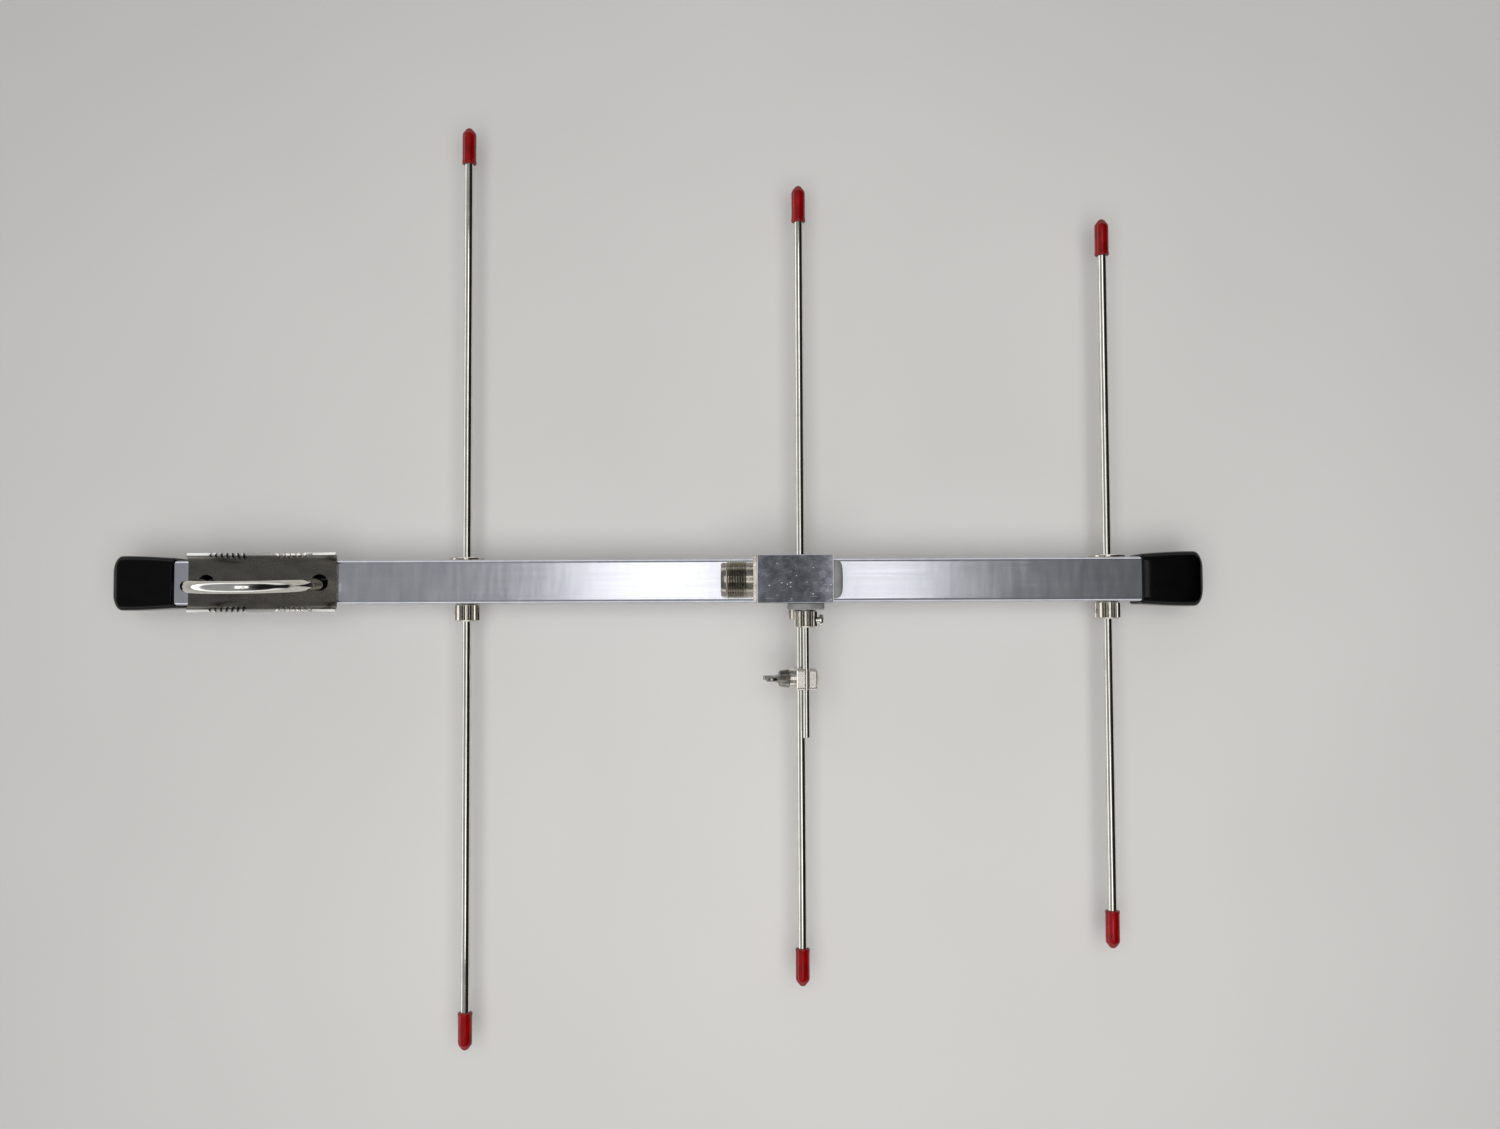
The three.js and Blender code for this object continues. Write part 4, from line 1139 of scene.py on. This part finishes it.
CONTACT_BORE = 0.85
contact_low, contact_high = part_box("jack_contact")
length = round((contact_high.x - contact_low.x) / MM, 3)
pin = spin([(CONTACT_BORE, length - 4), (CONTACT_BORE, length - 0.1), (0.95, length),
            (1.25, length), (1.5, length - 0.3), (1.5, 0.2), (1.3, 0), (CONTACT_BORE, 0),
            (CONTACT_BORE, 2.4), (0, 2.4), (0, length - 4)], 40)
slits = [block(4, 0.25, 8, length), block(0.25, 4, 8, length)]
pin = standing(carve(pin, slits), (contact_high.x, 0, box_middle.z), BACKWARD)
finish("centre_contact", pin, TURNED_BRASS, "jack_contact", crease=35)

depth = size_mm("jack_insulator").x
washer = spin([(1.6, 0), (3.5, 0), (3.5, depth - 0.15), (3.35, depth), (1.75, depth),
               (1.6, depth - 0.15)], 48, closed=True)
washer_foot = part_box("jack_insulator")[1].x
washer = standing(washer, (washer_foot, 0, box_middle.z), BACKWARD)
finish("jack_bead", washer, WHITE_PTFE, "jack_insulator")
print("contact is", round(length, 1), "mm long")

# %% [markdown]
# ## Gamma match
#
# Under the box, a grey nylon bush lets the gamma rod out. A knurled coupler with a small
# pan-head screw holds the rod. The screw's head has a single slot, cut with the same carving
# helper as the contact.

# %% Gamma bush and coupler
GAMMA_RADIUS = 1.5
GAMMA_BORE = 1.65
COUPLER_RADIUS = 4.65
COUPLER_RIDGES = 24

gamma_middle = middle("gamma_rod")
wall = box_low.y / MM
foot, top = [corner.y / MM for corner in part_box("gamma_bush")]
nylon = spin([
    (GAMMA_BORE, foot + 0.1), (1.8, foot), (7.4, foot), (7.75, foot + 0.35), (7.75, wall - 0.3),
    (7.5, wall - 0.03), (4.0, wall - 0.03), (4.0, top), (GAMMA_BORE, top)], 64, closed=True)
finish("gamma_insulator", standing(nylon, (gamma_middle.x, 0, gamma_middle.z), UP), GREY_NYLON,
       "gamma_bush", crease=40)

height = size_mm("gamma_coupler").y
side = COUPLER_RADIUS - 0.32
blank = spin([
    (GAMMA_BORE, 0.1), (1.8, 0), (COUPLER_RADIUS - 0.7, 0), (side, 0.45), (side, height - 0.45),
    (COUPLER_RADIUS - 0.7, height), (GAMMA_BORE, height)], 60, closed=True)
add_mesh(blank, knurl(side, height - 1.0, 0.32, COUPLER_RIDGES), up=0.5)
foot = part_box("gamma_coupler")[0].y
finish("knurled_coupler", standing(blank, (gamma_middle.x, foot, gamma_middle.z), UP),
       BRIGHT_NICKEL, "gamma_coupler", crease=30)
print("coupler height", round(height, 1), "mm")

# %% Coupler screw
HEAD = {"radius": 2.5, "height": 1.9}
SLOT_TURN = math.radians(62)
FORWARD = (1, 0, 0)

screw_foot = middle("gamma_coupler_screw")
screw_foot.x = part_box("gamma_coupler_screw")[0].x
shank = size_mm("gamma_coupler_screw").x - HEAD["height"]
crown = shank + HEAD["height"]
pan = [(0, 0), (1.2, 0), (1.5, 0.35), (1.5, shank), (HEAD["radius"] - 0.1, shank),
       (HEAD["radius"], shank + 0.15), (HEAD["radius"], shank + 0.95)]
for step in range(1, 6):
    angle = math.pi / 2 * step / 5
    pan.append((HEAD["radius"] - 0.9 * (1 - math.cos(angle)),
                shank + 0.95 + 0.8 * math.sin(angle)))
pan += [(HEAD["radius"] * 0.4, crown - 0.04), (0, crown)]
slot = moved(block(6, 0.65, 1.6, crown), Matrix.Rotation(SLOT_TURN, 4, "Z"))
screw = standing(carve(spin(pan, 40), [slot]), screw_foot, FORWARD)
finish("coupler_pan_screw", screw, POLISHED_STAINLESS, "gamma_coupler_screw", crease=32)

reach = size_mm("gamma_rod").y / 2
rod = spin([(0, -reach), (GAMMA_RADIUS - 0.35, -reach), (GAMMA_RADIUS, -reach + 0.35),
            (GAMMA_RADIUS, reach - 0.2), (GAMMA_RADIUS - 0.2, reach), (0, reach)], 40)
finish("gamma_bar", standing(rod, gamma_middle, UP), POLISHED_STAINLESS, "gamma_rod")
print("gamma rod reach", round(reach, 1), "mm")

# %% [markdown]
# ## Shorting clamp
#
# Two nickel jaws grip the driven rod and the gamma rod, drawn together by a domed screw and
# a wing nut. The clamp sits on the slant between the two rods, and the wing nut's axis in
# the record gives that slant. The screw is made straight, then put in place with one matrix.
# The jaws come from CAD with wider round edges, because tumbling wears a small block most.

# %% Clamp jaws
SCREW_SEAT = 4.3
NUT_POSITION = -8.0

clamp_joint = joints["wing_nut_turn"]
clamp_axis = Vector(clamp_joint["axis"])
tilt = math.atan2(-clamp_axis.z, clamp_axis.x)
clamp_site = Vector(clamp_joint["pos_m"]) - clamp_axis * NUT_POSITION * MM
on_clamp = Matrix.Translation(clamp_site) @ Matrix.Rotation(tilt, 4, "Y")

for end in ("front", "rear"):
    finish("jaw_" + end, from_cad("clamp_jaw_" + end), SATIN_NICKEL, "clamp_jaw_" + end,
           body="gamma_clamp", edge_mm=0.25, steps=3, crease=30)
print("clamp slant", round(math.degrees(tilt), 2), "degrees")

# %% Clamp screw and washers
CLAMP_SCREW = {"radius": 2.0, "head": 3.8, "height": 2.2, "end": -12.4, "pitch": 0.7,
               "depth": 0.36, "threaded": 8.0}
DOME_STEPS = 10

screw_end = CLAMP_SCREW["end"]
thread_top = screw_end + CLAMP_SCREW["threaded"]
core = CLAMP_SCREW["radius"] - CLAMP_SCREW["depth"]
crown = SCREW_SEAT + CLAMP_SCREW["height"]
dome = [(0, screw_end), (core - 0.4, screw_end), (core, screw_end + 0.4), (core, thread_top),
        (CLAMP_SCREW["radius"], thread_top + 0.3), (CLAMP_SCREW["radius"], SCREW_SEAT),
        (CLAMP_SCREW["head"] - 0.12, SCREW_SEAT), (CLAMP_SCREW["head"], SCREW_SEAT + 0.12)]
for step in range(DOME_STEPS):
    angle = math.pi / 2 * step / DOME_STEPS
    dome.append((CLAMP_SCREW["head"] * math.cos(angle) ** 0.8,
                 SCREW_SEAT + 0.5 + (CLAMP_SCREW["height"] - 0.5) * math.sin(angle)))
dome.append((0, crown))
screw = carve(spin(dome, 48), [block(3.4, 0.8, 2.2, crown), block(0.8, 3.4, 2.2, crown)])
winding = thread(core, CLAMP_SCREW["threaded"] - 0.5, CLAMP_SCREW["pitch"],
                 CLAMP_SCREW["depth"])
add_mesh(screw, winding, up=screw_end + 0.3)
screw = moved(standing(screw, (0, 0, 0), FORWARD), on_clamp)
finish("clamp_dome_screw", screw, POLISHED_STAINLESS, "clamp_screw", body="gamma_clamp",
       crease=32)
for node in ("clamp_washer", "clamp_spring_washer"):
    finish("plain_" + node, from_cad(node), POLISHED_STAINLESS, node, body="gamma_clamp",
           edge_mm=0.1)
print("clamp screw is threaded over", CLAMP_SCREW["threaded"], "mm")

# %% [markdown]
# ### Wing nut
#
# A wing nut is die cast, so it has no sharp edge anywhere. Bevels can't round the places
# where the wings run into the hub. A voxel remesh can: it wraps the merged CAD solid in an
# even grid of quads, and a few rounds of smoothing then soften every edge and corner alike.

# %% Wing nut
VOXEL = 0.22
SMOOTHING_ROUNDS = 5

casting = place_object("casting", as_mesh("casting", from_cad("wing_nut")))
wrap = casting.modifiers.new("wrap", "REMESH")
wrap.mode = "VOXEL"
wrap.voxel_size = VOXEL * MM
soften = casting.modifiers.new("soften", "SMOOTH")
soften.iterations = SMOOTHING_ROUNDS
make_plain(casting)
wing_nut = finish("cast_wing_nut", as_shape(casting.data), CAST_ZINC, "wing_nut",
                  body="wing_nut", crease=80)
bpy.data.objects.remove(casting)
print("wing nut has", len(wing_nut.data.polygons), "faces")

# %% [markdown]
# ## Pieces inside the box
#
# The two screws that hold the box and the wire with its lug are out of sight. Their CAD
# solids stay as they are, and only get a finish.

# %% Hidden pieces
for node, material in (("feed_link", TURNED_BRASS), ("feed_box_screw_rear", ZINC_PLATED_STEEL),
                       ("feed_box_screw_front", ZINC_PLATED_STEEL)):
    nodes[node].data.materials.clear()
    nodes[node].data.materials.append(material)
print("hidden pieces finished")

# %% [markdown]
# ## Floor
#
# The floor is a plain pale sheet just under the lowest point, the ends of the U-bolt's legs.
# Matt paint has a faint roller texture, so its tone drifts very slightly over a hand's width.

# %% Floor
FLOOR_SIZE = 6.0
FLOOR_GAP = 1.0

MATT_PAINT, _ = new_finish(
    "matt_pale_paint", {"drift": (180.0, 2.0)}, tint=("drift", "#d0cecb", "#d6d4d1"),
    span=(0.2, 0.8), constants={"Roughness": 0.8})
floor_shape = bmesh.new()
bmesh.ops.create_grid(floor_shape, x_segments=1, y_segments=1, size=FLOOR_SIZE / 2)
floor = place_object("floor", as_mesh("floor", floor_shape))
floor.data.materials.append(MATT_PAINT)
centre = (cad_low + cad_high) / 2
floor.location = (centre.x, centre.y, cad_low.z - FLOOR_GAP * MM)
print("floor at", round(floor.location.z, 4))
